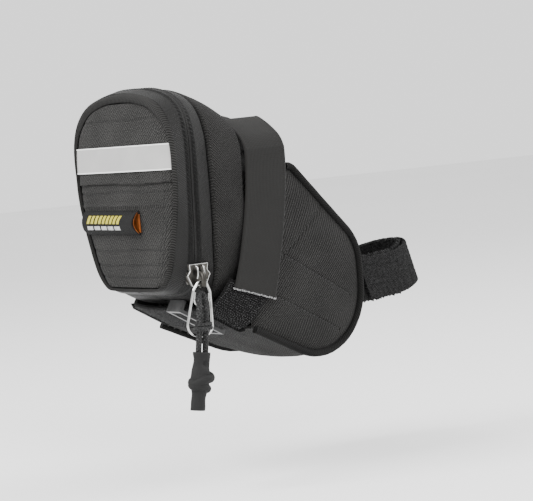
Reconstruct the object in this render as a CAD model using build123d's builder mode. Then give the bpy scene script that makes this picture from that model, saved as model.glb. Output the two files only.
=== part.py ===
from build123d import *

import math
import os

# A wedge-shaped bicycle saddle bag. It hangs from the two saddle rails by straps and is
# held to the seatpost by a hook-and-loop strap. Millimetres. +X forward, +Y to the
# rider's left, +Z up. The origin is the centre of the seatpost strap's loop.

# ---- driving dimensions -------------------------------------------------------------

SKIN = 1.2  # woven outer fabric
FOAM = 1.6  # foam board behind it
LINING = 0.5
STRAP = 1.6  # thickness of the straps
STRAP_WIDTH = 20.0
GAP = 0.3  # between pieces that move apart

POST_RADIUS = 13.6  # a 27.2 mm seatpost
POST_LEAN = 17.0  # degrees, rearwards
RAIL_RADIUS = 3.5
RAIL_Y = 22.0
RAIL_Z = 67.0
RAIL_X = -80.4  # middle of the saddle straps on the rails

REAR_X = -124.5  # outer face of the rear panel
RIM_X = -122.0
BAND_REAR_X = -119.0
SEAM_X = -115.0  # where the two halves of the zip meet
BAND_FRONT_X = -109.3
CREASE_X = -107.0
BOX_FRONT_X = -91.0
SEAM_SLIT = 1.0

NOSE_X = -27.5
WEDGE_REAR_HALF = 35.0  # half width of the wedge at the box
WEDGE_NOSE_HALF = 25.5

os.makedirs("parts", exist_ok=True)


def save(builder, name):
    """Label a finished piece and write it to its own file."""
    builder.part.label = name
    export_step(builder.part, f"parts/{name}.step")


# ---- cross-sections of the rear box -------------------------------------------------


class Shield:
    """The box's cross-section at one x: flat foot, rounded corner, straight side, arch."""

    def __init__(self, x, foot, corner, hip, side, top, squareness=0.62):
        self.x = x
        self.foot = foot  # (half width, height) of the flat bottom
        self.corner = corner  # what the curve from foot to hip bends towards
        self.hip = hip  # (half width, height) where the straight side starts
        self.side = side  # (half width, height) where it ends
        self.top = top
        self.squareness = squareness

    def at(self, x):
        """The same section at another x."""
        return Shield(
            x, self.foot, self.corner, self.hip, self.side, self.top, self.squareness
        )

    def face(self, inset=0.0):
        """The section as a face at its x, moved inwards by inset."""
        foot_y, foot_z = self.foot[0] - inset / 2, self.foot[1] + inset
        corner = (self.corner[0] - inset, self.corner[1] + inset)
        hip_y, hip_z = self.hip[0] - inset, self.hip[1] + inset / 2
        side_y, side_z = self.side[0] - inset, self.side[1]
        top = self.top - inset
        rise = (top - side_z) * self.squareness
        with BuildSketch(Plane.YZ.offset(self.x)) as section:
            with BuildLine():
                Line((0, foot_z), (foot_y, foot_z))
                Bezier((foot_y, foot_z), corner, (hip_y, hip_z))
                Line((hip_y, hip_z), (side_y, side_z))
                Bezier(
                    (side_y, side_z),
                    (side_y, side_z + rise),
                    (side_y * self.squareness, top),
                    (0, top),
                )
                mirror(about=Plane.YZ)
            make_face()
        return section.sketch.face()


rim = Shield(RIM_X, (16.0, 6.7), (24.0, 8.5), (34.0, 33.0), (36.4, 60.0), 84.5)
band = Shield(SEAM_X, (20.0, 3.0), (33.0, 3.0), (33.8, 5.0), (38.0, 60.0), 86.0, 0.68)
crease = Shield(CREASE_X, (22.5, 0.0), (33.5, 1.0), (35.4, 10.0), (38.4, 56.0), 85.5, 0.68)
box_front = Shield(BOX_FRONT_X, (22.0, -3.5), (34.0, -2.5), (35.5, 9.0), (37.8, 42.0), 79.0)


def box_tube(sections, outer=0.0, inner=SKIN):
    """A tube with even walls between two insets of some sections, inside a BuildPart."""
    loft([s.face(outer) for s in sections], ruled=True)
    loft([s.face(inner) for s in sections], ruled=True, mode=Mode.SUBTRACT)


def shield_ring(section, outer, inner, length):
    """A ring of even width that runs forward from a section, inside a BuildPart."""
    extrude(section.face(outer), amount=length)
    extrude(section.face(inner), amount=length, mode=Mode.SUBTRACT)


# ---- lid: rear panel, half of the zip band, and what is sewn on ----------------------

seam_rear_x = SEAM_X - SEAM_SLIT / 2
seam_front_x = SEAM_X + SEAM_SLIT / 2

# How far each layer of the rear panel stays inside the rim.
PANEL_INSET = 1.3
FOAM_INSET = 2.0
LINING_INSET = 3.4
BINDING = 1.45  # thickness of the bound edge round the rear panel
BINDING_DEPTH = 2.7
BINDING_PROUD = 0.3  # how far it stands behind the panel

with BuildPart() as rear_panel:
    extrude(rim.at(REAR_X).face(PANEL_INSET), amount=SKIN)
save(rear_panel, "rear_panel")

with BuildPart() as rear_panel_foam:
    extrude(rim.at(REAR_X + SKIN).face(FOAM_INSET), amount=FOAM)
save(rear_panel_foam, "rear_panel_foam")

with BuildPart() as rear_panel_lining:
    extrude(rim.at(REAR_X + SKIN + FOAM).face(LINING_INSET), amount=LINING)
save(rear_panel_lining, "rear_panel_lining")

with BuildPart() as lid_piping:
    binding_inner = PANEL_INSET - 0.05
    shield_ring(
        rim.at(REAR_X - BINDING_PROUD), binding_inner - BINDING, binding_inner, BINDING_DEPTH
    )
save(lid_piping, "lid_piping")

with BuildPart() as lid_band:
    box_tube([rim, band.at(BAND_REAR_X), band.at(seam_rear_x)], 0.0, SKIN)
save(lid_band, "lid_band")

COIL = 1.2  # height of the zip's coils
COIL_WIDTH = 2.0

with BuildPart() as lid_zip_coil:
    shield_ring(band.at(seam_rear_x - COIL_WIDTH), SKIN + 0.02, SKIN + COIL, COIL_WIDTH)
save(lid_zip_coil, "lid_zip_coil")

STRIP_LOW = 54.2
STRIP_HIGH = 64.5
STRIP = 0.5
strip_box = (4, 90)  # deeper and wider than the strip

with BuildPart() as reflective_strip:
    extrude(rim.at(REAR_X).face(PANEL_INSET + 0.05), amount=-STRIP)
    with Locations((REAR_X, 0, (STRIP_LOW + STRIP_HIGH) / 2)):
        Box(*strip_box, STRIP_HIGH - STRIP_LOW, mode=Mode.INTERSECT)
save(reflective_strip, "reflective_strip")

# A flat fabric tube that a rear light's clip slides into, open at its right-hand end.
LOOP_LOW = 26.5
LOOP_HIGH = 37.0
LOOP_LEFT = 29.5
LOOP_RIGHT = -9.0
LOOP_DEPTH = 5.0
LOOP_WALL = 0.7
LOOP_LINING = 0.33
LOOP_LINING_REACH = 14.0  # how far the bright lining runs in from the open end
loop_middle = (LOOP_LOW + LOOP_HIGH) / 2


def light_loop_section(inset):
    """A half almond with its flat side on the panel, at the loop's right-hand end."""
    with BuildSketch(Plane.XZ.offset(-LOOP_RIGHT)) as section:
        with BuildLine():
            low = (REAR_X - inset, LOOP_LOW + 2 * inset)
            high = (REAR_X - inset, LOOP_HIGH - 2 * inset)
            ThreePointArc(low, (REAR_X - LOOP_DEPTH + inset, loop_middle), high)
            Line(high, low)
        make_face()
    return section.sketch.face()


with BuildPart() as light_loop:
    extrude(light_loop_section(0), amount=LOOP_RIGHT - LOOP_LEFT)
    extrude(
        light_loop_section(LOOP_WALL),
        amount=LOOP_RIGHT - LOOP_LEFT + 2,
        mode=Mode.SUBTRACT,
    )
save(light_loop, "light_loop")

with BuildPart() as light_loop_lining:
    outside = LOOP_WALL + 0.02
    extrude(light_loop_section(outside), amount=-LOOP_LINING_REACH)
    extrude(
        light_loop_section(outside + LOOP_LINING),
        amount=-LOOP_LINING_REACH,
        mode=Mode.SUBTRACT,
    )
save(light_loop_lining, "light_loop_lining")

# ---- rear box of the bag -------------------------------------------------------------

with BuildPart() as body_band:
    box_tube([band.at(seam_front_x), band.at(BAND_FRONT_X), crease], 0.0, SKIN)
save(body_band, "body_band")

with BuildPart() as body_zip_coil:
    shield_ring(band.at(seam_front_x), SKIN + 0.02, SKIN + COIL, COIL_WIDTH)
save(body_zip_coil, "body_zip_coil")

with BuildPart() as box_gusset:
    box_tube([crease, box_front], 0.0, SKIN)
save(box_gusset, "box_gusset")

with BuildPart() as box_foam:
    box_tube([crease, box_front], SKIN + 0.02, SKIN + FOAM)
    split(bisect_by=Plane.YZ.offset(BOX_FRONT_X - 1.5), keep=Keep.BOTTOM)
save(box_foam, "box_foam")

# The lid folds about this strip of fabric, which is sewn inside the foot of the box.
HINGE_TAPE = 0.8
HINGE_TAPE_HALF = 14.0
hinge_rear = (seam_rear_x + 0.8, band.foot[1] + SKIN + COIL + 0.1)
hinge_bend = (BAND_FRONT_X, hinge_rear[1])
hinge_front = (CREASE_X - 0.5, crease.foot[1] + SKIN + COIL + 1.2)

with BuildPart() as lid_hinge_tape:
    with BuildSketch(Plane.XZ.offset(-HINGE_TAPE_HALF)):
        with BuildLine():
            Polyline(
                hinge_rear,
                hinge_bend,
                hinge_front,
                (hinge_front[0], hinge_front[1] + HINGE_TAPE),
                (hinge_bend[0], hinge_bend[1] + HINGE_TAPE),
                (hinge_rear[0], hinge_rear[1] + HINGE_TAPE),
                close=True,
            )
        make_face()
    extrude(amount=2 * HINGE_TAPE_HALF)
save(lid_hinge_tape, "lid_hinge_tape")

# ---- wedge between the box and the seatpost ------------------------------------------

taper = math.degrees(
    math.atan2(WEDGE_REAR_HALF - WEDGE_NOSE_HALF, NOSE_X - BOX_FRONT_X)
)
wedge_x = BOX_FRONT_X + 0.4
WEDGE_TOP = 50.0  # where the side panels meet the hump between the rails
TOP_LENGTH = 27.8  # of the side panel's straight top edge


def side_plane(inset):
    """The right side panel's plane, moved inwards; its x runs forward and its y up."""
    along = Vector(1, 0, 0).rotate(Axis.Z, taper)
    outwards = along.cross(Vector(0, 0, 1))
    plane = Plane(origin=(wedge_x, -WEDGE_REAR_HALF, 0), x_dir=along, z_dir=outwards)
    return plane.offset(-inset)


def wedge_outline(foreshortening=1.0):
    """The side panel's outline on a plane whose x starts at the box, as a closed line."""
    length = (NOSE_X - wedge_x) * foreshortening
    FilletPolyline(
        (0, WEDGE_TOP),
        (TOP_LENGTH * foreshortening, WEDGE_TOP),
        (length, 15.4),
        (length, -42.3),
        (0, -12.5),
        radius=[0.5, 4.0, 20.0, 26.0, 0.5],
        close=True,
    )


def side_piece(depth, thickness, inset):
    """A flat piece of the right side, as far inside the panel's outline as inset says."""
    with BuildSketch(side_plane(depth)) as outline:
        with BuildLine():
            wedge_outline()
        make_face()
        if inset:
            offset(amount=-inset, mode=Mode.REPLACE)
    extrude(outline.sketch, amount=-thickness)


with BuildPart() as side_panel_right:
    side_piece(0.0, SKIN, 0.0)
save(side_panel_right, "side_panel_right")

with BuildPart() as side_panel_left:
    mirror(side_panel_right.part, about=Plane.XZ)
save(side_panel_left, "side_panel_left")

with BuildPart() as side_foam_right:
    side_piece(SKIN + 0.02, FOAM, SKIN + 0.6)
save(side_foam_right, "side_foam_right")

with BuildPart() as side_foam_left:
    mirror(side_foam_right.part, about=Plane.XZ)
save(side_foam_left, "side_foam_left")

side_depth = SKIN + FOAM + 0.04

with BuildPart() as side_lining_right:
    side_piece(side_depth, LINING, SKIN + 0.6)
save(side_lining_right, "side_lining_right")

with BuildPart() as side_lining_left:
    mirror(side_lining_right.part, about=Plane.XZ)
save(side_lining_left, "side_lining_left")


def wedge_between_sides():
    """Keep what lies between the two side panels, inside a BuildPart."""
    rear_half = WEDGE_REAR_HALF - SKIN - 0.04
    # The sides carry on past the nose as far as x = 0.
    front_half = rear_half + wedge_x * math.tan(math.radians(taper))
    with BuildSketch(Plane.XY.offset(-60)) as plan:
        Polygon(
            (wedge_x, -rear_half),
            (0, -front_half),
            (0, front_half),
            (wedge_x, rear_half),
            align=None,
        )
    extrude(plan.sketch, amount=150, mode=Mode.INTERSECT)


def gusset_strip(keep_plane, keep):
    """Part of the strip that joins the two side panels along their edge."""
    with BuildSketch(Plane.XZ.shift_origin((wedge_x, 0, 0))) as outline:
        with BuildLine():
            wedge_outline(math.cos(math.radians(taper)))
        make_face()
        offset(amount=-SKIN, mode=Mode.SUBTRACT)
    extrude(outline.sketch, amount=WEDGE_REAR_HALF, both=True)
    wedge_between_sides()
    split(bisect_by=keep_plane, keep=keep)


rear_cut = Plane(origin=(wedge_x + 2, 0, 0), z_dir=(1, 0, 0))
top_cut = Plane(origin=(0, 0, WEDGE_TOP - SKIN - 0.05), z_dir=(0, 0, 1))
nose_cut = Plane(origin=(NOSE_X, 0, -14.0), z_dir=(0.6, 0, 1))

with BuildPart() as front_gusset:
    gusset_strip(rear_cut, Keep.TOP)
    split(bisect_by=top_cut, keep=Keep.BOTTOM)
    split(bisect_by=nose_cut, keep=Keep.TOP)
save(front_gusset, "front_gusset")

with BuildPart() as bottom_gusset:
    gusset_strip(rear_cut, Keep.TOP)
    split(bisect_by=nose_cut, keep=Keep.BOTTOM)
save(bottom_gusset, "bottom_gusset")


HUMP_BEVEL = 6.0  # across the hump's top edges
HUMP_MIDDLE_X = -74.0
hump_end_x = wedge_x + TOP_LENGTH
# Half width of the shoulder, (half width, height) of the neck, and height of the top.
hump_rear = (WEDGE_REAR_HALF, (15.2, 57.0), 77.5)
hump_middle = (31.5, (15.2, 57.0), 73.0)
hump_end = (29.0, (14.0, 55.0), 62.0)


def hump_section(x, sizes, inset):
    """The roof between the saddle rails at one x, as a closed polygon."""
    shoulder, neck, top = sizes
    neck_y = neck[0] - inset
    with BuildSketch(Plane.YZ.offset(x)) as section:
        with BuildLine():
            Polyline(
                (0, WEDGE_TOP),
                (shoulder - inset, WEDGE_TOP),
                (shoulder - 7 - inset, WEDGE_TOP + 4 - inset),
                (neck_y, neck[1] - inset),
                (neck_y, top - HUMP_BEVEL),
                (neck_y - HUMP_BEVEL + inset / 2, top - inset),
                (0, top - inset),
            )
            mirror(about=Plane.YZ)
        make_face()
    return section.sketch.face()


def hump(inset, mode):
    """The roof's solid, from the box to where it slopes down to the front gusset."""
    loft(
        [
            hump_section(wedge_x, hump_rear, inset),
            hump_section(HUMP_MIDDLE_X, hump_middle, inset),
            hump_section(hump_end_x, hump_end, inset),
        ],
        ruled=True,
        mode=mode,
    )


with BuildPart() as top_panel:
    hump(0.0, Mode.ADD)
    hump(SKIN, Mode.SUBTRACT)
save(top_panel, "top_panel")

with BuildPart() as top_front_panel:
    extrude(hump_section(hump_end_x + 0.02, hump_end, 0), amount=SKIN)
save(top_front_panel, "top_front_panel")

# The step from the box down to the narrower wedge, with the mouth between the two.
MOUTH_LOW = 2.0
MOUTH_HIGH = 46.0
MOUTH_WIDTH = 60.0
MOUTH_CORNER = 8.0

with BuildPart() as waist_wall:
    extrude(box_front.at(BOX_FRONT_X - SKIN - 0.1).face(SKIN + 0.4), amount=SKIN)
    with BuildSketch(Plane.YZ.offset(BOX_FRONT_X - 3)) as mouth:
        with Locations((0, (MOUTH_LOW + MOUTH_HIGH) / 2)):
            RectangleRounded(MOUTH_WIDTH, MOUTH_HIGH - MOUTH_LOW, MOUTH_CORNER)
    extrude(mouth.sketch, amount=6, mode=Mode.SUBTRACT)
save(waist_wall, "waist_wall")

PIPING_RADIUS = 1.2

with BuildPart() as piping_right:
    with BuildSketch(side_plane(0.3)) as piping_line:
        with BuildLine():
            wedge_outline()
        make_face()
        offset(amount=PIPING_RADIUS + 0.05, kind=Kind.ARC, mode=Mode.REPLACE)
    edge = piping_line.sketch.face().outer_wire()
    with BuildSketch(Plane(origin=edge @ 0, z_dir=edge % 0)) as piping_section:
        Circle(PIPING_RADIUS)
    sweep(piping_section.sketch, path=edge)
    split(bisect_by=Plane.YZ.offset(wedge_x + 2.0), keep=Keep.TOP)
    split(bisect_by=Plane.XY.offset(WEDGE_TOP - 0.5), keep=Keep.BOTTOM)
save(piping_right, "piping_right")

with BuildPart() as piping_left:
    mirror(piping_right.part, about=Plane.XZ)
save(piping_left, "piping_left")

# ---- saddle straps -------------------------------------------------------------------

STRAP_IN = 38.1  # inner face of the strap on the bag's flank
PEEL_Z = 57.0  # where the free end of the strap starts to peel
ANCHOR_Z = 58.5  # where its fixed end meets the hump
strap_middle = STRAP_IN + STRAP / 2
loop_radius = RAIL_RADIUS + STRAP / 2

loop_inner_y = -RAIL_Y + loop_radius
loop_outer_y = -RAIL_Y - loop_radius
loop_bend = (loop_outer_y, RAIL_Z - 1.0)  # where the strap leaves the rail for the flank

with BuildPart() as rail_loop_right:
    with BuildSketch(Plane.YZ.offset(RAIL_X - STRAP_WIDTH / 2)) as over_rail:
        with BuildLine():
            Line((loop_inner_y, ANCHOR_Z), (loop_inner_y, RAIL_Z))
            ThreePointArc(
                (loop_inner_y, RAIL_Z),
                (-RAIL_Y, RAIL_Z + loop_radius),
                (loop_outer_y, RAIL_Z),
            )
            Line((loop_outer_y, RAIL_Z), loop_bend)
        trace(line_width=STRAP)
        with Locations(loop_bend):
            Circle(STRAP / 2)
    with BuildSketch(Plane.YZ.offset(RAIL_X - STRAP_WIDTH / 2)) as down_flank:
        with BuildLine():
            Line(loop_bend, (-strap_middle, PEEL_Z + 1.8))
        trace(line_width=STRAP)
    extrude(over_rail.sketch, amount=STRAP_WIDTH)
    extrude(down_flank.sketch, amount=STRAP_WIDTH)
save(rail_loop_right, "rail_loop_right")

with BuildPart() as rail_loop_left:
    mirror(rail_loop_right.part, about=Plane.XZ)
save(rail_loop_left, "rail_loop_left")

# Corners (x, z) of the strap's slanted free end, which lies further back than its top.
STRAP_END_FRONT = (-81.0, -2.1)
STRAP_END_REAR = (-101.5, 4.4)

with BuildPart() as saddle_strap_right:
    with BuildSketch(Plane.XZ.offset(STRAP_IN)) as flank:
        Polygon(
            (RAIL_X - STRAP_WIDTH / 2, PEEL_Z),
            (RAIL_X + STRAP_WIDTH / 2, PEEL_Z),
            STRAP_END_FRONT,
            STRAP_END_REAR,
            align=None,
        )
    extrude(flank.sketch, amount=STRAP)
save(saddle_strap_right, "saddle_strap_right")

with BuildPart() as saddle_strap_left:
    mirror(saddle_strap_right.part, about=Plane.XZ)
save(saddle_strap_left, "saddle_strap_left")

# Hook tape that runs under the bag from one saddle strap to the other.
BELLY_SLOPE = 30.0
belly_plane = Plane(
    origin=(-102.5, 0, -7.6),
    x_dir=(0, 1, 0),
    z_dir=(math.cos(math.radians(BELLY_SLOPE)), 0, -math.sin(math.radians(BELLY_SLOPE))),
)
BELLY_HALF = 37.1
BELLY_LEG = 13.0  # how far it rises under the saddle straps' ends
BELLY_CORNER = 7.0

with BuildPart() as belly_strap:
    with BuildSketch(belly_plane) as under:
        with BuildLine():
            FilletPolyline(
                (-BELLY_HALF, BELLY_LEG),
                (-BELLY_HALF, 0.0),
                (BELLY_HALF, 0.0),
                (BELLY_HALF, BELLY_LEG),
                radius=BELLY_CORNER,
            )
        trace(line_width=STRAP)
    extrude(under.sketch, amount=STRAP_WIDTH / 2, both=True)
save(belly_strap, "belly_strap")

# Three-bar slide: two bars pass under the strap and the middle one over it.
SLIDE_Y = -13.0
SLIDE_LENGTH = 10.0
SLIDE_BAR = 1.5
SLIDE_ROUNDING = 0.4
slide_half = STRAP_WIDTH / 2 + 0.4
slide_low = -STRAP / 2 - GAP - SLIDE_BAR
slide_high = STRAP / 2 + GAP + SLIDE_BAR

with BuildPart() as belly_slide:
    with BuildSketch(belly_plane.offset(-slide_half - SLIDE_BAR)) as bars:
        for offset_y in (-SLIDE_LENGTH / 2 + SLIDE_BAR / 2, SLIDE_LENGTH / 2 - SLIDE_BAR / 2):
            with Locations((SLIDE_Y + offset_y, slide_low + SLIDE_BAR / 2)):
                Rectangle(SLIDE_BAR, SLIDE_BAR)
        with Locations((SLIDE_Y, slide_high - SLIDE_BAR / 2)):
            Rectangle(2 * SLIDE_BAR, SLIDE_BAR)
    extrude(bars.sketch, amount=2 * (slide_half + SLIDE_BAR))
    for side in (-slide_half - SLIDE_BAR, slide_half):
        with BuildSketch(belly_plane.offset(side)) as cheek:
            with Locations((SLIDE_Y, (slide_low + slide_high) / 2)):
                Rectangle(SLIDE_LENGTH, slide_high - slide_low)
        extrude(cheek.sketch, amount=SLIDE_BAR)
    fillet(belly_slide.edges().filter_by(GeomType.LINE).group_by(Axis.Z)[0], SLIDE_ROUNDING)
save(belly_slide, "belly_slide")

# ---- seatpost strap -------------------------------------------------------------------

POST_STRAP_WIDTH = 19.0
lean = math.radians(POST_LEAN)
post_axis = Vector(-math.sin(lean), 0, math.cos(lean))
post_plane = Plane(origin=(0, 0, 0), x_dir=(math.cos(lean), 0, math.sin(lean)), z_dir=post_axis)
post_loop = POST_RADIUS + STRAP / 2
NOSE_PATCH_X = -27.0  # measured along the strap's straight ends
PATCH = 1.4
TAIL_START_X = -18.0
TAIL_TURN = 78.0  # degrees that the tail wraps round the post


def post_band(radius, reach_right, reach_left):
    """A strap round the front of the post, with straight ends that run back."""
    with BuildSketch(post_plane.offset(-POST_STRAP_WIDTH / 2)) as band_face:
        with BuildLine():
            Line((reach_right, -radius), (0, -radius))
            ThreePointArc((0, -radius), (radius, 0), (0, radius))
            Line((0, radius), (reach_left, radius))
        trace(line_width=STRAP)
    extrude(band_face.sketch, amount=POST_STRAP_WIDTH)


with BuildPart() as seatpost_strap:
    post_band(post_loop, NOSE_PATCH_X + 3, NOSE_PATCH_X + 3)
save(seatpost_strap, "seatpost_strap")

TAIL_GAP = STRAP + GAP

with BuildPart() as seatpost_strap_tail:
    with BuildSketch(post_plane.offset(-POST_STRAP_WIDTH / 2)) as tail_face:
        with BuildLine():
            Line((TAIL_START_X, -post_loop - TAIL_GAP), (0, -post_loop - TAIL_GAP))
            CenterArc((0, 0), post_loop + TAIL_GAP, -90, TAIL_TURN)
        trace(line_width=STRAP)
    extrude(tail_face.sketch, amount=POST_STRAP_WIDTH)
save(seatpost_strap_tail, "seatpost_strap_tail")

with BuildPart() as seatpost_strap_patch:
    with BuildSketch(post_plane.offset(-POST_STRAP_WIDTH / 2)) as patch_face:
        with Locations((NOSE_PATCH_X + 2.2, 0)):
            Rectangle(PATCH, 2 * post_loop + STRAP)
    extrude(patch_face.sketch, amount=POST_STRAP_WIDTH)
save(seatpost_strap_patch, "seatpost_strap_patch")

# ---- zip slider and its pull -----------------------------------------------------------

SLIDER_Z = 11.5
SLIDER_HALF = 4.4  # half length along the zip
slope = (band.side[0] - band.hip[0]) / (band.side[1] - band.hip[1])
slider_y = -(band.hip[0] + (SLIDER_Z - band.hip[1]) * slope)
tilt = math.atan(slope)
outward = Vector(0, -math.cos(tilt), -math.sin(tilt))
slider_plane = Plane(origin=(SEAM_X, slider_y, SLIDER_Z), x_dir=(1, 0, 0), z_dir=outward)
PLATE = 1.3
BOTTOM_PLATE_WIDTH = 5.6
inside_face = SKIN + COIL + GAP + 0.1

with BuildPart() as zip_slider:
    with BuildSketch(slider_plane.offset(GAP)) as top_plate:
        with BuildLine():
            Polyline(
                (-4.4, SLIDER_HALF),
                (-4.0, 1.8),
                (-5.4, 0.0),
                (-3.2, -SLIDER_HALF),
                (3.2, -SLIDER_HALF),
                (5.4, 0.0),
                (4.0, 1.8),
                (4.4, SLIDER_HALF),
                close=True,
            )
        make_face()
    extrude(top_plate.sketch, amount=PLATE)
    with BuildSketch(slider_plane.offset(-inside_face - PLATE)) as bottom_plate:
        RectangleRounded(BOTTOM_PLATE_WIDTH, 2 * SLIDER_HALF, 1.2)
    extrude(bottom_plate.sketch, amount=PLATE)
    with BuildSketch(slider_plane.offset(-inside_face)) as post:
        with Locations((0, 1.0)):
            Rectangle(SEAM_SLIT - 0.5, 4.0)
    extrude(post.sketch, amount=inside_face + GAP)
save(zip_slider, "zip_slider")

WIRE = 0.55  # radius of the pull's wire
EYE_HOLE = 0.79  # radius of the crown's hole, in which the leaning ring still turns
EYE_OUT = 2.2  # from the slider's top plate to the wire's centre
EYE_BELOW = 2.6  # from the slider's middle down to the wire
CROWN_WIDTH = 2.4
eye_at = slider_plane.offset(GAP + PLATE + EYE_OUT).from_local_coords((0, -EYE_BELOW, 0))

with BuildPart() as slider_crown:
    with BuildSketch(Plane.YZ.offset(SEAM_X - CROWN_WIDTH / 2)) as crown:
        with BuildLine():
            base = slider_plane.offset(GAP + PLATE + 0.02)
            foot_low = base.from_local_coords((0, -4.4, 0))
            foot_high = base.from_local_coords((0, 3.8, 0))
            shoulder = base.from_local_coords((0, 1.0, 3.2))
            lip = base.from_local_coords((0, -4.0, 3.9))
            Polyline(
                (foot_low.Y, foot_low.Z),
                (lip.Y, lip.Z),
                (shoulder.Y, shoulder.Z),
                (foot_high.Y, foot_high.Z),
                close=True,
            )
        make_face()
        with Locations((eye_at.Y, eye_at.Z)):
            Circle(EYE_HOLE, mode=Mode.SUBTRACT)
    extrude(crown.sketch, amount=CROWN_WIDTH)
save(slider_crown, "slider_crown")

RING_EYE_HALF = 1.9
RING_TOP_HALF = 3.9
RING_BOTTOM_HALF = 6.4
RING_LENGTH = 21.2

# The whole pull hangs from the eye with its lower end a little further back.
PULL_LEAN = 9.0  # degrees
across = Vector(math.cos(math.radians(PULL_LEAN)), 0, -math.sin(math.radians(PULL_LEAN)))
upwards = Vector(math.sin(math.radians(PULL_LEAN)), 0, math.cos(math.radians(PULL_LEAN)))
eye_centre = Vector(SEAM_X, eye_at.Y, eye_at.Z)
ring_plane = Plane(origin=eye_centre, x_dir=across, z_dir=(0, -1, 0))


def hung(aside, y, z):
    """A point of the leaning pull, from where it would be if the pull hung plumb."""
    point = eye_centre + across * aside + upwards * (z - eye_at.Z)
    return (point.X, y, point.Z)


def pull_level(z):
    """The plane across the leaning pull at one height."""
    return Plane(origin=hung(0, 0, z), x_dir=across, z_dir=upwards)


with BuildPart() as pull_ring:
    with BuildLine(ring_plane) as ring_line:
        FilletPolyline(
            (0, 0),
            (RING_EYE_HALF, 0),
            (RING_TOP_HALF, -3.4),
            (RING_BOTTOM_HALF, -RING_LENGTH),
            (-RING_BOTTOM_HALF, -RING_LENGTH),
            (-RING_TOP_HALF, -3.4),
            (-RING_EYE_HALF, 0),
            radius=[0, 0.8, 2.5, 4.2, 4.2, 2.5, 0.8],
            close=True,
        )
    with BuildSketch(Plane(origin=ring_line.wire() @ 0, z_dir=ring_line.wire() % 0)):
        Circle(WIRE)
    sweep(path=ring_line.wire())
save(pull_ring, "pull_ring")

# A smaller wire across the ring, which the cord hangs from.
BAIL_Z = -0.6
BAIL_WIRE = 0.4  # radius

with BuildPart() as pull_bail:
    with BuildLine(ring_plane) as bail_line:
        low = BAIL_Z - eye_at.Z
        reach = RING_TOP_HALF - 0.6
        FilletPolyline((-reach, -4.2), (-reach, low), (reach, low), (reach, -4.2), radius=2.2)
    with BuildSketch(Plane(origin=bail_line.wire() @ 0, z_dir=bail_line.wire() % 0)):
        Circle(BAIL_WIRE)
    sweep(path=bail_line.wire())
save(pull_bail, "pull_bail")

# The cord is doubled: it rises from the grip, folds over the bail and goes back down.
CORD = 1.2  # radius
STRAND = 1.6  # half the distance between the two strands
cord_y = eye_at.Y - WIRE - CORD - 0.25
fold_y = eye_at.Y + 0.9
GRIP_TOP_Z = -19.1
cord_radii = [4, 1.55, 1.55, 4]  # the two in the middle fold tightly over the bail
cord_route = [
    hung(-STRAND, cord_y, GRIP_TOP_Z - 5),
    hung(-STRAND, cord_y, -0.4),
    hung(-STRAND, fold_y, 4.2),
    hung(STRAND, fold_y, 4.2),
    hung(STRAND, cord_y, -0.4),
    hung(STRAND, cord_y, GRIP_TOP_Z - 5),
]

with BuildPart() as pull_cord:
    with BuildLine() as cord_line:
        FilletPolyline(*cord_route, radius=cord_radii)
    cord_wire = cord_line.wire()
    with BuildSketch(Plane(origin=cord_wire @ 0, z_dir=cord_wire % 0)):
        Circle(CORD)
    sweep(path=cord_wire)
save(pull_cord, "pull_cord")
tube_volume = math.pi * CORD**2 * cord_wire.length
print("cord length", cord_wire.length, "radii", cord_radii)
print("cord volume over section times length", pull_cord.part.volume / tube_volume)

# A turn of the same cord that ties the two strands in front of the ring's lower bar.
WRAP_Z = eye_at.Z - RING_LENGTH + 3.4
WRAP_HEIGHT = 2.4

with BuildPart() as cord_wrap:
    with BuildSketch(pull_level(WRAP_Z - WRAP_HEIGHT / 2)) as wrap_face:
        with Locations((0, cord_y - 0.3)):
            SlotOverall(2 * (STRAND + CORD) + 2.4, 2 * CORD + 1.6)
        for side in (-STRAND, STRAND):
            with Locations((side, cord_y)):
                Circle(CORD + 0.05, mode=Mode.SUBTRACT)
    extrude(wrap_face.sketch, amount=WRAP_HEIGHT)
save(cord_wrap, "cord_wrap")

# A rubber sleeve, a knot-like bulge under it, and a stub. (radius, height) below its top.
sleeve_end = (3.6, -8.4)
bulge = (6.1, -12.6)
stub_start = (3.2, -16.4)
GRIP_LENGTH = 23.1
GRIP_SOCKET = 5.1  # how deep the cord's ends sit in it

with BuildPart() as pull_grip:
    grip_centre = hung(0, cord_y, GRIP_TOP_Z)
    grip_top = Plane(origin=grip_centre, x_dir=across, z_dir=(0, -1, 0))
    with BuildSketch(grip_top):
        with BuildLine():
            Polyline((0, 0), (sleeve_end[0], 0), sleeve_end)
            Spline(sleeve_end, bulge, stub_start)
            Polyline(stub_start, (stub_start[0], -GRIP_LENGTH), (0, -GRIP_LENGTH), (0, 0))
        make_face()
    revolve(axis=Axis(grip_centre, upwards))
    for side in (-STRAND, STRAND):
        with BuildSketch(pull_level(GRIP_TOP_Z)):
            with Locations((side, cord_y)):
                Circle(CORD + 0.02)
        extrude(amount=-GRIP_SOCKET, mode=Mode.SUBTRACT)
save(pull_grip, "pull_grip")
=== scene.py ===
import math

import bpy
import numpy as np
from mathutils import Matrix, Vector


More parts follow.
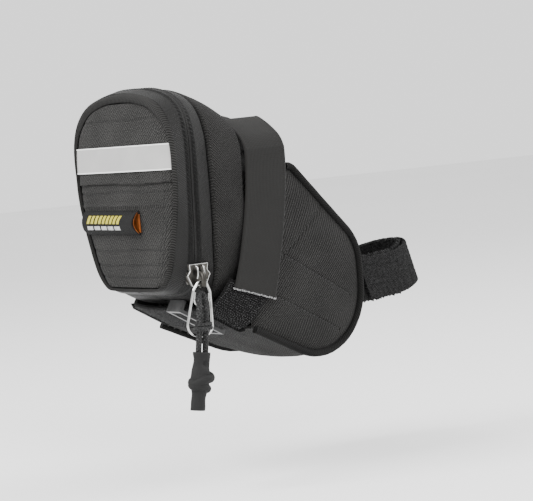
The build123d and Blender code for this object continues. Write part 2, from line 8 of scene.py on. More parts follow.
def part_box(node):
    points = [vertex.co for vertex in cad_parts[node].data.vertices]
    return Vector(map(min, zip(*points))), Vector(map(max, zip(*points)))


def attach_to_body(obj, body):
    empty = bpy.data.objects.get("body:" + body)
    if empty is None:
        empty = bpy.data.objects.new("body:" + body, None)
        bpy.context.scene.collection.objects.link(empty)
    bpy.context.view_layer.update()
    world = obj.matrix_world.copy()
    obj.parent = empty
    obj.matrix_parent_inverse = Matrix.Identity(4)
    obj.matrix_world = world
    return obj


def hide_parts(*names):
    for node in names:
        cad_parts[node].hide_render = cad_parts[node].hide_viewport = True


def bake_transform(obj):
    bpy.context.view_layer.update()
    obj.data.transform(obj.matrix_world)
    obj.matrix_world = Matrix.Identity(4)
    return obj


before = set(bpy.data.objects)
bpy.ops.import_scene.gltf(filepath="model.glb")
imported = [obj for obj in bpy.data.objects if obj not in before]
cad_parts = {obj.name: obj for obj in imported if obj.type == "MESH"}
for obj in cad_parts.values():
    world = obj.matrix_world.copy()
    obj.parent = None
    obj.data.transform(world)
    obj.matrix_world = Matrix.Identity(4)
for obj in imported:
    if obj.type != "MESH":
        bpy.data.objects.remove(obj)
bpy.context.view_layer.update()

# The looks of a bicycle saddle bag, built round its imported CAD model. Shapes are worked
# out in millimetres in the CAD frame and turned into metres when a mesh is made.

MM = 0.001
rng = np.random.default_rng(11)


def placed(name, data):
    """A new object in the scene."""
    made = bpy.data.objects.new(name, data)
    bpy.context.scene.collection.objects.link(made)
    return made


# ---- camera --------------------------------------------------------------------------

CAMERA_AT = Vector((-0.610, -0.791, 0.074))
CAMERA_UP = Vector((0.106, 0.0, 0.994))
CAMERA_BACK = Vector((-0.5725, -0.8176, 0.0611))  # from the bag towards the camera
LENS = 154.0
SENSOR_WIDTH = 36.0


def make_camera():
    """A long lens behind and to the right of the bag, rolled a little."""
    data = bpy.data.cameras.new("camera")
    data.lens = LENS
    data.sensor_width = SENSOR_WIDTH
    camera = placed("camera", data)
    back = CAMERA_BACK.normalized()
    right = CAMERA_UP.normalized().cross(back).normalized()
    turn = Matrix((right, back.cross(right), back)).transposed().to_4x4()
    camera.matrix_world = Matrix.Translation(CAMERA_AT) @ turn
    bpy.context.scene.camera = camera


make_camera()

# ---- curves and grids ----------------------------------------------------------------


def unit(vectors):
    """Vectors of length one, along the last axis."""
    length = np.linalg.norm(vectors, axis=-1, keepdims=True)
    return vectors / np.maximum(length, 1e-9)


def smooth(points, closed=False, steps=12):
    """A curve through some points: Catmull-Rom, with steps points to each span."""
    points = np.asarray(points, float)
    if closed:
        padded = np.vstack([points[-1:], points, points[:2]])
    else:
        first = 2 * points[:1] - points[1:2]
        last = 2 * points[-1:] - points[-2:-1]
        padded = np.vstack([first, points, last])
    spans = []
    t = np.linspace(0, 1, steps, endpoint=False)[:, None]
    for a, b, c, d in zip(padded, padded[1:], padded[2:], padded[3:]):
        spans.append(
            0.5 * (2 * b + (c - a) * t + (2 * a - 5 * b + 4 * c - d) * t**2 + (3 * b - a - 3 * c + d) * t**3)
        )
    if not closed:
        spans.append(points[-1:])
    return np.vstack(spans)


def distances(points):
    """Distance along a polyline to each of its points."""
    return np.concatenate([[0], np.cumsum(np.linalg.norm(np.diff(points, axis=0), axis=1))])


def evenly(points, count, closed=False):
    """Count points at even distances along a polyline."""
    points = np.asarray(points, float)
    if closed:
        points = np.vstack([points, points[:1]])
    run = distances(points)
    at = np.linspace(0, run[-1], count, endpoint=not closed)
    return np.stack([np.interp(at, run, points[:, k]) for k in range(points.shape[1])], axis=1)


def filleted(points, radii, steps=10):
    """A closed polygon in a plane with round corners, as a list of points."""
    points = np.asarray(points, float)
    made = []
    for i, radius in enumerate(radii):
        corner = points[i]
        before = unit(points[i - 1] - corner)
        after = unit(points[(i + 1) % len(points)] - corner)
        half = math.acos(np.clip(before @ after, -1, 1)) / 2
        reach = radius / math.tan(half)
        start, end = corner + before * reach, corner + after * reach
        centre = corner + unit(before + after) * radius / math.sin(half)
        a0 = math.atan2(*(start - centre)[::-1])
        turn = (math.atan2(*(end - centre)[::-1]) - a0 + math.pi) % (2 * math.pi) - math.pi
        for a in a0 + turn * np.linspace(0, 1, steps):
            made.append(centre + radius * np.array([math.cos(a), math.sin(a)]))
    return np.array(made)


def tangents(points, closed=False):
    """Unit directions along a curve."""
    if closed:
        return unit(np.roll(points, -1, axis=0) - np.roll(points, 1, axis=0))
    return unit(np.gradient(points, axis=0))


def outwards(curve, closed=True):
    """Unit normals of a flat curve, in its plane."""
    direction = tangents(curve, closed)
    return np.stack([-direction[:, 1], direction[:, 0]], axis=1)


def groove(distance, width, depth):
    """A soft channel: how far in a surface goes at some distance from a seam."""
    return -depth * np.exp(-((distance / width) ** 2))


def wander(u, v, size, seed):
    """Slow waves, -1 to 1, so that no surface is perfectly even."""
    total = 0
    for k, (a, b) in enumerate([(1.0, 0.6), (0.37, 1.3), (1.7, -0.8), (0.9, 2.1)]):
        total = total + np.sin((a * u + b * v) / size + seed * 1.7 + k * 2.3)
    return total / 4


def grid_normals(grid, wrap):
    """Unit normals of a grid of points: rows direction cross columns direction."""
    along_rows = np.gradient(grid, axis=0)
    if wrap:
        along_columns = np.roll(grid, -1, axis=1) - np.roll(grid, 1, axis=1)
    else:
        along_columns = np.gradient(grid, axis=1)
    return unit(np.cross(along_rows, along_columns))


def cloth_places(grid):
    """Where each point of a grid lies on the flat cloth, in millimetres."""
    across = np.linalg.norm(np.diff(grid, axis=1), axis=2)
    across = np.concatenate([np.zeros((len(grid), 1)), np.cumsum(across, axis=1)], axis=1)
    across = across - across[:, grid.shape[1] // 2][:, None]
    along = distances(grid[:, grid.shape[1] // 2])
    along = np.repeat(along[:, None], grid.shape[1], axis=1)
    return np.stack([across, along, np.zeros_like(along)], axis=2)


# ---- meshes --------------------------------------------------------------------------


def make_object(name, points, faces, materials, face_material=None, cloth=None, flat_faces=None):
    """A mesh object from points in millimetres."""
    mesh = bpy.data.meshes.new(name)
    mesh.from_pydata((np.asarray(points) * MM).tolist(), [], [list(map(int, f)) for f in faces])
    for material in materials:
        mesh.materials.append(material)
    if face_material is not None:
        mesh.polygons.foreach_set("material_index", np.asarray(face_material, np.int32))
    is_smooth = np.ones(len(mesh.polygons), bool)
    if flat_faces is not None:
        is_smooth[flat_faces] = False
    mesh.polygons.foreach_set("use_smooth", is_smooth)
    if cloth is not None:
        attribute = mesh.attributes.new("cloth", "FLOAT_VECTOR", "POINT")
        attribute.data.foreach_set("vector", np.asarray(cloth, np.float32).ravel())
    mesh.update()
    return placed(name, mesh)


def quads(index, wrap):
    """Faces between neighbours in a grid of point numbers."""
    beside = np.roll(index, -1, axis=1) if wrap else index[:, 1:]
    here = index if wrap else index[:, :-1]
    return np.stack([here[:-1], here[1:], beside[1:], beside[:-1]], axis=2).reshape(-1, 4)


def shell(name, grid, thickness, outside, inside=None, wrap=False):
    """A sheet with a real thickness, behind a grid of points on its outer face."""
    rows, columns = grid.shape[:2]
    inner = grid - grid_normals(grid, wrap) * thickness
    front = np.arange(rows * columns).reshape(rows, columns)
    back = front + rows * columns
    outer_faces = quads(front, wrap)
    inner_faces = quads(back, wrap)[:, ::-1]
    edges = [
        quads(np.stack([back[0], front[0]]), wrap),
        quads(np.stack([front[-1], back[-1]]), wrap),
    ]
    if not wrap:
        edges.append(quads(np.stack([front[:, 0], back[:, 0]]), False))
        edges.append(quads(np.stack([back[:, -1], front[:, -1]]), False))
    edges = np.vstack(edges)
    faces = np.vstack([outer_faces, inner_faces, edges])
    which = np.zeros(len(faces), int)
    if inside is not None:
        which[len(outer_faces) : len(outer_faces) + len(inner_faces)] = 1
    places = cloth_places(grid).reshape(-1, 3)
    return make_object(
        name,
        np.vstack([grid.reshape(-1, 3), inner.reshape(-1, 3)]),
        faces,
        [outside] if inside is None else [outside, inside],
        which,
        np.vstack([places, places]),
        np.arange(len(outer_faces) + len(inner_faces), len(faces)),
    )


OTHER_SIDE = np.array([1.0, -1.0, 1.0])


def mirrored(grid):
    """The same grid on the bag's other side, still facing outwards."""
    return grid[:, ::-1] * OTHER_SIDE


def tube_points(path, radius, sides=12, closed=False, flatten=1.0):
    """Rings of points round a path, carried along it without twisting."""
    path = np.asarray(path, float)
    along = tangents(path, closed)
    side = np.cross(along[0], (0.31, 0.52, 0.79))
    radius = np.broadcast_to(np.asarray(radius, float), (len(path),))
    rings = []
    for point, direction, r in zip(path, along, radius):
        side = unit(side - direction * (side @ direction))
        other = np.cross(direction, side)
        a = np.linspace(0, 2 * math.pi, sides, endpoint=False)[:, None]
        rings.append(point + r * (np.cos(a) * side + flatten * np.sin(a) * other))
    return np.array(rings)


def tube_faces(rings, sides, start, closed=False):
    """Faces of a tube whose points start at a number, with its ends closed."""
    index = np.arange(rings * sides).reshape(rings, sides) + start
    if closed:
        index = np.vstack([index, index[:1]])
        return quads(index, True)[:, ::-1].tolist()
    faces = quads(index, True)[:, ::-1].tolist()
    return faces + [index[0].tolist(), index[-1][::-1].tolist()]


def tube(name, path, radius, material, sides=12, closed=False):
    """A round wire, cord or piping along a path in millimetres."""
    rings = tube_points(path, radius, sides, closed)
    run = distances(rings.mean(axis=1))
    around = np.linspace(0, 2 * math.pi, sides, endpoint=False)
    places = np.zeros((len(rings), sides, 3))
    places[:, :, 0] = around[None, :]
    places[:, :, 1] = run[:, None]
    faces = tube_faces(len(rings), sides, 0, closed)
    return make_object(name, rings.reshape(-1, 3), faces, [material], cloth=places.reshape(-1, 3))


def bead_shape(rings=5, sides=8):
    """A unit ball as points and faces, its poles on the first axis."""
    points = [(-1.0, 0.0, 0.0)]
    for i in range(1, rings):
        a = math.pi * i / rings
        for j in range(sides):
            b = 2 * math.pi * j / sides
            points.append((-math.cos(a), math.sin(a) * math.cos(b), math.sin(a) * math.sin(b)))
    points.append((1.0, 0.0, 0.0))
    last = len(points) - 1
    faces = []
    for j in range(sides):
        k = (j + 1) % sides
        faces.append((0, 1 + k, 1 + j))
        for i in range(rings - 2):
            a, b = 1 + i * sides, 1 + (i + 1) * sides
            faces.append((a + j, a + k, b + k, b + j))
        faces.append((last, last - sides + j, last - sides + k))
    return np.array(points), faces


def beads(name, centres, axes, normals, size, material, rings=5, sides=8):
    """Many small rounded beads in one mesh: stitches, zip coils, hooks."""
    shape, shape_faces = bead_shape(rings, sides)
    centres = np.asarray(centres, float)
    axes = unit(np.asarray(axes, float))
    sideways = unit(np.cross(np.asarray(normals, float), axes))
    upright = np.cross(axes, sideways)
    half = np.asarray(size, float) / 2
    local = shape * half
    points = (
        centres[:, None]
        + local[None, :, :1] * axes[:, None]
        + local[None, :, 1:2] * sideways[:, None]
        + local[None, :, 2:] * upright[:, None]
    )
    faces = []
    for k in range(len(centres)):
        start = k * len(shape)
        faces.extend([tuple(i + start for i in face) for face in shape_faces])
    return make_object(name, points.reshape(-1, 3), faces, [material])


def stitch_line(path, normals, pitch):
    """Middles, directions and normals of the stitches along a line."""
    path = np.asarray(path, float)
    count = max(2, int(distances(path)[-1] / pitch))
    both = evenly(np.hstack([path, np.broadcast_to(normals, path.shape)]), 2 * count + 1)
    middles, facing = both[1::2, :3], unit(both[1::2, 3:])
    directions = unit(both[2::2, :3] - both[:-1:2, :3])
    return middles, directions, facing


def attach(made, body, slot, *nodes):
    """A piece rides on a body and may stand in for CAD parts; slot is not used."""
    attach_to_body(made, body)
    if nodes:
        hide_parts(*nodes)


def sew(name, lines, pitch, material, body, slot, thread):
    """Rows of stitches, all one piece that rides on a body."""
    parts = [stitch_line(path, normals, pitch) for path, normals in lines]
    made = beads(
        name,
        np.vstack([p[0] for p in parts]),
        np.vstack([p[1] for p in parts]),
        np.vstack([p[2] for p in parts]),
        (pitch * 0.74, thread, thread * 0.8),
        material,
    )
    attach(made, body, slot)


# ---- materials -----------------------------------------------------------------------


class Paint:
    """A new material and short ways to add nodes to it."""

    def __init__(self, name, roughness, metallic=0.0, sheen=0.0, specular=0.5):
        self.material = bpy.data.materials.new(name)
        self.material.use_nodes = True
        self.nodes = self.material.node_tree.nodes
        self.links = self.material.node_tree.links
        self.shader = self.nodes["Principled BSDF"]
        self.shader.inputs["Roughness"].default_value = roughness
        self.shader.inputs["Metallic"].default_value = metallic
        self.shader.inputs["Sheen Weight"].default_value = sheen
        self.shader.inputs["Sheen Roughness"].default_value = 0.5
        self.shader.inputs["Specular IOR Level"].default_value = specular

    def add(self, kind, **settings):
        made = self.nodes.new(kind)
        for key, value in settings.items():
            setattr(made, key, value)
        return made

    def put(self, value, socket):
        """Link an output or set a number on a socket."""
        if hasattr(value, "is_output"):
            self.links.new(value, socket)
        else:
            socket.default_value = value

    def math(self, operation, a, b=0.0):
        made = self.add("ShaderNodeMath", operation=operation)
        self.put(a, made.inputs[0])
        self.put(b, made.inputs[1])
        return made.outputs[0]

    def total(self, *terms, start=0.0):
        """A starting value plus some values, each times its weight."""
        made = start
        for value, weight in terms:
            node = self.add("ShaderNodeMath", operation="MULTIPLY_ADD")
            for part, socket in zip((value, weight, made), node.inputs):
                self.put(part, socket)
            made = node.outputs[0]
        return made

    def cloth(self):
        """The place on the flat cloth: across, along, in millimetres, and the whole vector."""
        place = self.add("ShaderNodeAttribute", attribute_name="cloth").outputs["Vector"]
        apart = self.add("ShaderNodeSeparateXYZ")
        self.links.new(place, apart.inputs[0])
        return apart.outputs[0], apart.outputs[1], place

    def here(self):
        """The place in the bag's own frame, in metres."""
        return self.add("ShaderNodeTexCoord").outputs["Object"]

    def noise(self, place, scale, detail=2.0):
        made = self.add("ShaderNodeTexNoise")
        self.links.new(place, made.inputs["Vector"])
        made.inputs["Scale"].default_value = scale
        made.inputs["Detail"].default_value = detail
        return made.outputs["Fac"]

    def wave(self, value, pitch):
        """A sine along a coordinate, once in each pitch."""
        return self.math("SINE", self.total((value, 2 * math.pi / pitch)))

    def colours(self, factor, stops):
        """Colour by factor: a ramp of (place, linear colour)."""
        ramp = self.add("ShaderNodeValToRGB")
        elements = ramp.color_ramp.elements
        while len(elements) < len(stops):
            elements.new(0.5)
        for element, (place, colour) in zip(elements, stops):
            element.position = place
            element.color = (*colour, 1.0)
        self.put(factor, ramp.inputs[0])
        return ramp.outputs[0]

    def paint(self, factor, stops):
        self.put(self.colours(factor, stops), self.shader.inputs["Base Color"])

    def shade(self, factor, *stops, warmth=0.0):
        """Paint with greys: (place, brightness) for each."""
        self.paint(factor, [(place, grey(value, warmth)) for place, value in stops])

    def relief(self, height, depth_mm):
        bump = self.add("ShaderNodeBump")
        bump.inputs["Distance"].default_value = depth_mm * MM
        bump.inputs["Strength"].default_value = 1.0
        self.links.new(height, bump.inputs["Height"])
        self.links.new(bump.outputs[0], self.shader.inputs["Normal"])

    def roughen(self, factor, low, high):
        made = self.add("ShaderNodeMapRange")
        self.put(factor, made.inputs[0])
        made.inputs[3].default_value = low
        made.inputs[4].default_value = high
        self.links.new(made.outputs[0], self.shader.inputs["Roughness"])


def grey(value, warmth=0.0):
    """A neutral linear colour, a little warmer or cooler."""
    return (value * (1 + warmth), value, value * (1 - 1.6 * warmth))


def woven(name, dark, light, pitch, twill, speckle, relief=0.22):
    """Plain or twill weave: yarns that cross, mottled yarn by yarn."""
    p = Paint(name, 0.85, sheen=0.015, specular=0.08)
    across, along, place = p.cloth()
    plain = p.math("MULTIPLY", p.wave(across, pitch), p.wave(along, pitch))
    diagonal = p.wave(p.math("ADD", across, along), pitch * 1.5)
    weave = p.total((plain, 1 - twill), (diagonal, twill))
    yarn = p.noise(place, 1.9 / pitch, 1.0)
    fibre = p.noise(place, 7.0, 2.0)
    fade = p.noise(place, 0.045, 3.0)
    mix = p.total((weave, 0.5), (yarn, 2.1 * speckle), (fade, 0.5), start=0.17 - 1.05 * speckle)
    p.shade(mix, (0.0, dark), (0.5, (dark + light) / 2.3), (1.0, light), warmth=0.02)
    p.relief(p.total((weave, 1.0), (fibre, 0.5)), relief)
    p.roughen(yarn, 0.7, 0.95)
    return p.material


def coated():
    """Rubbery coated band of the zip: fine diagonal grain and a soft sheen."""
    p = Paint("coated_fabric", 0.5, specular=0.2)
    across, along, place = p.cloth()
    grain = p.wave(p.math("ADD", across, along), 0.9)
    cross_grain = p.wave(p.math("SUBTRACT", across, along), 1.3)
    fade = p.noise(place, 0.06, 3.0)
    fine = p.noise(place, 3.0, 2.0)
    mix = p.total((grain, 0.12), (fade, 0.5), start=0.2)
    p.paint(mix, [(0.0, grey(0.002, 0.02)), (1.0, grey(0.009, 0.03))])
    p.relief(p.total((grain, 1.0), (cross_grain, 0.5), (fine, 1.0)), 0.07)
    p.roughen(fade, 0.42, 0.62)
    return p.material


def webbing():
    """Smooth tight strap with fine ribs along it."""
    p = Paint("strap_webbing", 0.75, sheen=0.02, specular=0.12)
    across, along, place = p.cloth()
    ribs = p.wave(across, 0.7)
    weft = p.wave(along, 0.8)
    fade = p.noise(place, 0.05, 3.0)
    fine = p.noise(place, 2.6, 2.0)
    mix = p.total((ribs, 0.05), (fade, 0.4), (fine, 0.12), start=0.25)
    p.paint(mix, [(0.0, grey(0.007, 0.02)), (1.0, grey(0.016, 0.03))])
    p.relief(p.total((ribs, 0.6), (weft, 0.4)), 0.05)
    return p.material


def hook_and_loop(name, dark, light, pitch, relief):
    """Tape whose pile shows as pale specks on a near-black ground."""
    p = Paint(name, 0.9, sheen=0.02, specular=0.08)
    across, along, place = p.cloth()
    spots = p.math("MULTIPLY", p.wave(across, pitch), p.wave(along, pitch * 1.3))
    fuzz = p.noise(place, 2.4, 3.0)
    coarse = p.noise(place, 0.7, 1.0)
    mix = p.total((spots, 0.14), (fuzz, 1.0), (coarse, 0.5), start=-0.25)
    p.shade(mix, (0.3, dark), (0.62, (dark + light) / 3), (1.0, light))
    p.relief(p.total((spots, 1.0), (fuzz, 2.0)), relief)
    return p.material


def reflective():
    """Silver-grey reflective tape with a faint bead texture."""
    p = Paint("reflective_tape", 0.5, metallic=0.15, specular=0.5)
    place = p.cloth()[2]
    fine = p.noise(place, 4.0, 2.0)
    fade = p.noise(place, 0.08, 3.0)
    p.paint(p.total((fine, 0.35), (fade, 0.65)), [(0.25, grey(0.32, 0.01)), (0.8, grey(0.42, 0.015))])
    p.relief(fine, 0.03)
    p.roughen(fine, 0.4, 0.6)
    return p.material


def thread(name, value):
    """Sewing thread, mottled along its twist."""
    p = Paint(name, 0.8, specular=0.3)
    twist = p.noise(p.here(), 2500.0, 1.0)
    p.shade(twist, (0.3, value * 0.6), (0.7, value * 1.3))
    p.relief(twist, 0.04)
    return p.material


def satin(name, colour, spread=0.3, roughness=0.45):
    """Smooth woven label or lining."""
    p = Paint(name, roughness, specular=0.2)
    _, along, place = p.cloth()
    ribs = p.wave(along, 0.35)
    fade = p.noise(place, 0.2, 3.0)
    low = [c * (1 - spread) for c in colour]
    high = [c * (1 + spread) for c in colour]
    p.paint(fade, [(0.3, low), (0.7, high)])
    p.relief(p.math("ADD", ribs, fade), 0.03)
    return p.material


def metal(name, low, high, roughness):
    """Plated or polished metal with faint scratches."""
    p = Paint(name, roughness, metallic=1.0)
    fade = p.noise(p.here(), 260.0, 3.0)
    fine = p.noise(p.here(), 3000.0, 2.0)
    p.paint(fade, [(0.35, low), (0.65, high)])
    p.relief(fine, 0.02)
    p.roughen(fade, roughness * 0.8, roughness * 1.3)
    return p.material


def rubber():
    """Moulded soft rubber, mottled, and lighter on the high spots of its fine bumps."""
    p = Paint("rubber_grip", 0.7, specular=0.2)
    fade = p.noise(p.here(), 300.0, 4.0)
    fine = p.noise(p.here(), 2200.0, 3.0)
    p.shade(p.total((fade, 0.6), (fine, 0.4)), (0.3, 0.005), (0.75, 0.013))
    p.relief(fine, 0.08)
    p.roughen(fade, 0.6, 0.85)
    return p.material


def plastic():
    """Grey moulded plastic with a fine spark texture."""
    p = Paint("grey_plastic", 0.4, specular=0.5)
    fade = p.noise(p.here(), 350.0, 3.0)
    fine = p.noise(p.here(), 5000.0, 2.0)
    p.shade(fade, (0.3, 0.03), (0.7, 0.06))
    p.relief(fine, 0.03)
    p.roughen(fade, 0.3, 0.5)
    return p.material


SEAM_X = -115.0  # the plane where the zip's halves meet
BRAID_PITCH = 1.25


def braid():
    """Black braided cord: diagonal carriers both ways round, a few pale yarns."""
    p = Paint("braided_cord", 0.75, specular=0.35)
    apart = p.add("ShaderNodeSeparateXYZ")
    p.links.new(p.here(), apart.inputs[0])
    sideways = p.math("ABSOLUTE", p.math("ADD", apart.outputs[0], -SEAM_X * MM))
    one = p.wave(p.math("ADD", apart.outputs[2], sideways), BRAID_PITCH * MM)
    other = p.wave(p.math("SUBTRACT", apart.outputs[2], sideways), BRAID_PITCH * MM)
    height = p.math("MAXIMUM", one, other)
    flecks = p.noise(p.here(), 900.0, 2.0)
    p.shade(p.total((height, 0.3), (flecks, 0.75)), (0.3, 0.003), (0.62, 0.008), (0.9, 0.07))
    p.relief(height, 0.25)
    return p.material


def foam_board():
    """Pale closed-cell foam behind the lining."""
    p = Paint("foam_board", 0.9, specular=0.2)
    cells = p.noise(p.here(), 1500.0, 2.0)
    p.shade(cells, (0.3, 0.05), (0.7, 0.08))
    p.relief(cells, 0.1)
    return p.material


WOVEN = woven("woven_fabric", 0.0005, 0.062, pitch=1.0, twill=0.35, speckle=0.75)
TWILL = woven("woven_fabric_twill", 0.0004, 0.042, pitch=0.8, twill=0.35, speckle=0.75)
LEAF = woven("woven_fabric_side", 0.0004, 0.040, pitch=0.95, twill=0.5, speckle=0.8)
LINING = woven("lining_fabric", 0.02, 0.07, pitch=0.6, twill=0.2, speckle=0.3, relief=0.05)
COATED = coated()
PIPING = woven("piping_fabric", 0.002, 0.014, pitch=0.7, twill=0.6, speckle=0.4, relief=0.08)
BINDING = woven("binding_fabric", 0.004, 0.036, pitch=0.7, twill=0.8, speckle=0.3, relief=0.08)
WEBBING = webbing()
HOOK = hook_and_loop("hook_tape", 0.002, 0.02, 1.2, 0.2)
LOOP = hook_and_loop("loop_tape", 0.002, 0.07, 0.9, 0.35)
HOOK_TIP = thread("hook_tip", 0.05)
TAPE = reflective()
TAPE_EDGE = satin("reflective_edge", (0.75, 0.75, 0.74), 0.05)
LABEL = satin("label_fabric", (0.003, 0.003, 0.003), roughness=0.8)
ORANGE = satin("orange_lining", (0.20, 0.055, 0.010), 0.7)
YELLOW = satin("label_yellow", (0.45, 0.40, 0.04), 0.25)
WHITE = satin("label_white", (0.45, 0.45, 0.45), 0.2)
THREAD = thread("sewing_thread", 0.014)
PALE_THREAD = thread("pale_thread", 0.035)
FRAY = thread("frayed_ends", 0.30)
COIL = satin("zip_coil", (0.012, 0.012, 0.012), 0.3)
GUNMETAL = metal("gunmetal", (0.03, 0.028, 0.025), (0.08, 0.077, 0.07), 0.3)
STEEL = metal("steel_wire", (0.36, 0.36, 0.35), (0.58, 0.58, 0.57), 0.16)
CORD_MATERIAL = braid()
RUBBER = rubber()
PLASTIC = plastic()
FOAM = foam_board()

# ---- the pull's cord -----------------------------------------------------------------

STRAND = 1.6
CORD_Y = -39.887
FOLD_Y = -36.987
CORD_RADIUS = 1.2
EYE_Y = -37.887
EYE_Z = 8.618
BAIL_Z = -0.6
SHOULDER_Z = -0.4  # where each strand bends towards the fold
CORD_TOP_Z = 4.2
IN_GRIP = 5.0  # how far the strands reach into the grip
GRIP_TOP = -19.1
GRIP_LENGTH = 23.1
# The pull hangs from the slider's eye with its lower end a little further back.
PULL_LEAN = math.radians(9.0)
pull_across = np.array([math.cos(PULL_LEAN), 0.0, -math.sin(PULL_LEAN)])
pull_up = np.array([math.sin(PULL_LEAN), 0.0, math.cos(PULL_LEAN)])


def hung(aside, y, z):
    """Places on the leaning pull, from where they would be if it hung plumb."""
    aside, y, z = np.broadcast_arrays(aside, y, z)
    place = np.array([SEAM_X, 0.0, EYE_Z]) + aside[..., None] * pull_across
    place = place + (z - EYE_Z)[..., None] * pull_up
    place[..., 1] = y
    return place


def make_cord():
    """The doubled cord: up from the grip, over the bail and down again."""
    route = [
        hung(-STRAND, CORD_Y, GRIP_TOP - IN_GRIP),
        hung(-STRAND, CORD_Y, SHOULDER_Z),
        hung(-STRAND, FOLD_Y, CORD_TOP_Z),
        hung(STRAND, FOLD_Y, CORD_TOP_Z),
        hung(STRAND, CORD_Y, SHOULDER_Z),
        hung(STRAND, CORD_Y, GRIP_TOP - IN_GRIP),
    ]
    data = bpy.data.curves.new("cord", "CURVE")
    data.dimensions = "3D"
    spline = data.splines.new("NURBS")
    spline.points.add(len(route) - 1)
    for point, place in zip(spline.points, route):
        point.co = (*(np.array(place) * MM), 1.0)
    spline.order_u = 3
    spline.use_endpoint_u = True
    data.resolution_u = 16
    data.bevel_depth = CORD_RADIUS * MM
    data.bevel_resolution = 5
    data.materials.append(CORD_MATERIAL)
    made = placed("cord", data)
    attach(made, "pull", "braided_cord", "pull_cord")
    return made


cord = make_cord()

# ---- sections of the rear box ---------------------------------------------------------

OUTLINE_POINTS = 1024
PANEL_EDGE = [(0, 6.5), (12, 6.6), (19.6, 7.2), (25.2, 13.3), (30, 24.2), (35, 40.6),
              (36.1, 54), (35.5, 64.5), (32.2, 71.5), (24, 78), (12, 81.3), (0, 82)]
RIM = [(0, 4.8), (14, 5), (21, 6.5), (27.5, 13), (32, 24), (36.5, 40.6),
       (37.7, 54), (37.6, 64.5), (34.5, 74), (26.5, 81.5), (13, 85), (0, 86)]
ZIP = [(0, 2.8), (15, 3), (24, 4), (32.2, 10), (34.4, 20), (36.2, 40),
       (37.0, 55), (37.2, 67), (34.5, 77), (26.5, 83.5), (13, 86.6), (0, 87.2)]
CREASE = [(0, -1), (24, -0.8), (32, 4), (35.6, 12), (36.4, 20), (37.8, 40),
          (37.7, 56), (37, 66), (32.5, 76), (24.7, 82), (12, 85.5), (0, 86)]
BOX_FRONT = [(0, -3.5), (14, -1.5), (23.5, 2.5), (29.7, 9.5), (34.6, 20), (37.6, 33), (38.6, 46),
             (38.8, 57), (37.4, 64), (32.5, 69.4), (25, 73), (17, 76), (9, 78.5), (0, 79.5)]
REAR_X = -124.5
RIM_X = -122.0
CREASE_X = -107.0
BOX_FRONT_X = -91.0


def outline(half):
    """A closed section from its left half: from the foot up the right side and over."""
    right = [(-y, z) for y, z in half]
    left = [(y, z) for y, z in half[-2:0:-1]]
    return evenly(smooth(right + left, closed=True), OUTLINE_POINTS, closed=True)


panel_edge, rim, zip_line, crease, box_front = map(outline, (PANEL_EDGE, RIM, ZIP, CREASE, BOX_FRONT))


def ring_grid(start, end, xs, shares, proud):
    """Rows of a section that changes from start to end, each moved outwards by proud."""
    rows = []
    for x, share, out in zip(xs, shares, proud):
        section = start * (1 - share) + end * share
        section = section + outwards(section) * np.broadcast_to(out, (OUTLINE_POINTS,))[:, None]
        rows.append(np.column_stack([np.broadcast_to(x, (OUTLINE_POINTS,)), section]))
    return np.array(rows)


def run_along(section):
    """Distance along a section from its first point."""
    step = np.linalg.norm(np.roll(section, -1, axis=0) - section, axis=1)
    return np.concatenate([[0], np.cumsum(step)[:-1]])


# ---- lid -----------------------------------------------------------------------------

SEAMS_Z = [(75.0, 0.32), (45.6, 0.35), (22.0, 0.34), (16.0, 0.32), (11.0, 0.32)]
FOLD_Z = 49.3
RIDGE_Z = 40.4
CROWN = 1.3
PANEL_SKIN = 0.9  # how far in front of REAR_X's plane the flat panel would lie
PANEL_MIDDLE_Z = 44.0
PANEL_HALF_HEIGHT = 38.0


def panel_half_width(z):
    """Half the rear panel's width at a height."""
    half = smooth(PANEL_EDGE)
    return np.interp(z, half[:, 1], half[:, 0])


def seam_height(y, seam):
    """A seam across the rear panel isn't quite straight: its height at y."""
    return seam + 0.25 * np.sin(y / 7.0 + seam)


def panel_out(y, z):
    """How far the rear panel stands behind REAR_X's plane, in millimetres."""
    w = np.maximum(panel_half_width(z), 1.0)
    s = np.clip(np.abs(y) / w, 0, 1)
    t = (z - PANEL_MIDDLE_Z) / PANEL_HALF_HEIGHT
    out = CROWN * (1 - s**2) * (1 - np.abs(t) ** 3)
    out = out - 1.1 * np.exp(-(1 - s) * w / 1.2)
    for seam, depth in SEAMS_Z:
        out = out + groove(z - seam_height(y, seam), 0.5, depth)
    above = z - FOLD_Z - 0.3 * np.sin(y / 9.0)
    out = out + np.where(above > 0, 0.7 * np.exp(-above / 4.0), -0.35 * np.exp(above / 1.6))
    out = out + 0.55 * np.exp(-(((z - RIDGE_Z) / 0.7) ** 2))
    return out + 0.16 * wander(y, z, 5.0, 1)


def rear_panel_grid(rows=230, columns=150):
    zs = np.linspace(6.9, 81.7, rows)
    w = panel_half_width(zs)
    ys = np.linspace(-1, 1, columns)[None, :] * w[:, None]
    z = np.repeat(zs[:, None], columns, axis=1)
    return np.stack([REAR_X + PANEL_SKIN - panel_out(ys, z), ys, z], axis=2)


def make_rear_panel():
    panel = shell("rear_panel_cloth", rear_panel_grid(), 2.4, WOVEN, LINING)
    attach(panel, "lid", "woven_fabric", "rear_panel", "rear_panel_foam")
    lining = rear_panel_grid(60, 60)
    quilting = np.cos(lining[:, :, 1] / 3.2) * np.cos(lining[:, :, 2] / 3.2)
    lining[:, :, 0] = REAR_X + 3.7 + 0.25 * quilting
    lining[:, :, 1] *= 0.955
    lining[:, :, 2] = PANEL_MIDDLE_Z + (lining[:, :, 2] - PANEL_MIDDLE_Z) * 0.95
    inner = shell("rear_panel_lining_cloth", lining[:, ::-1], -0.5, LINING)
    attach(inner, "lid", "lining_fabric", "rear_panel_lining")


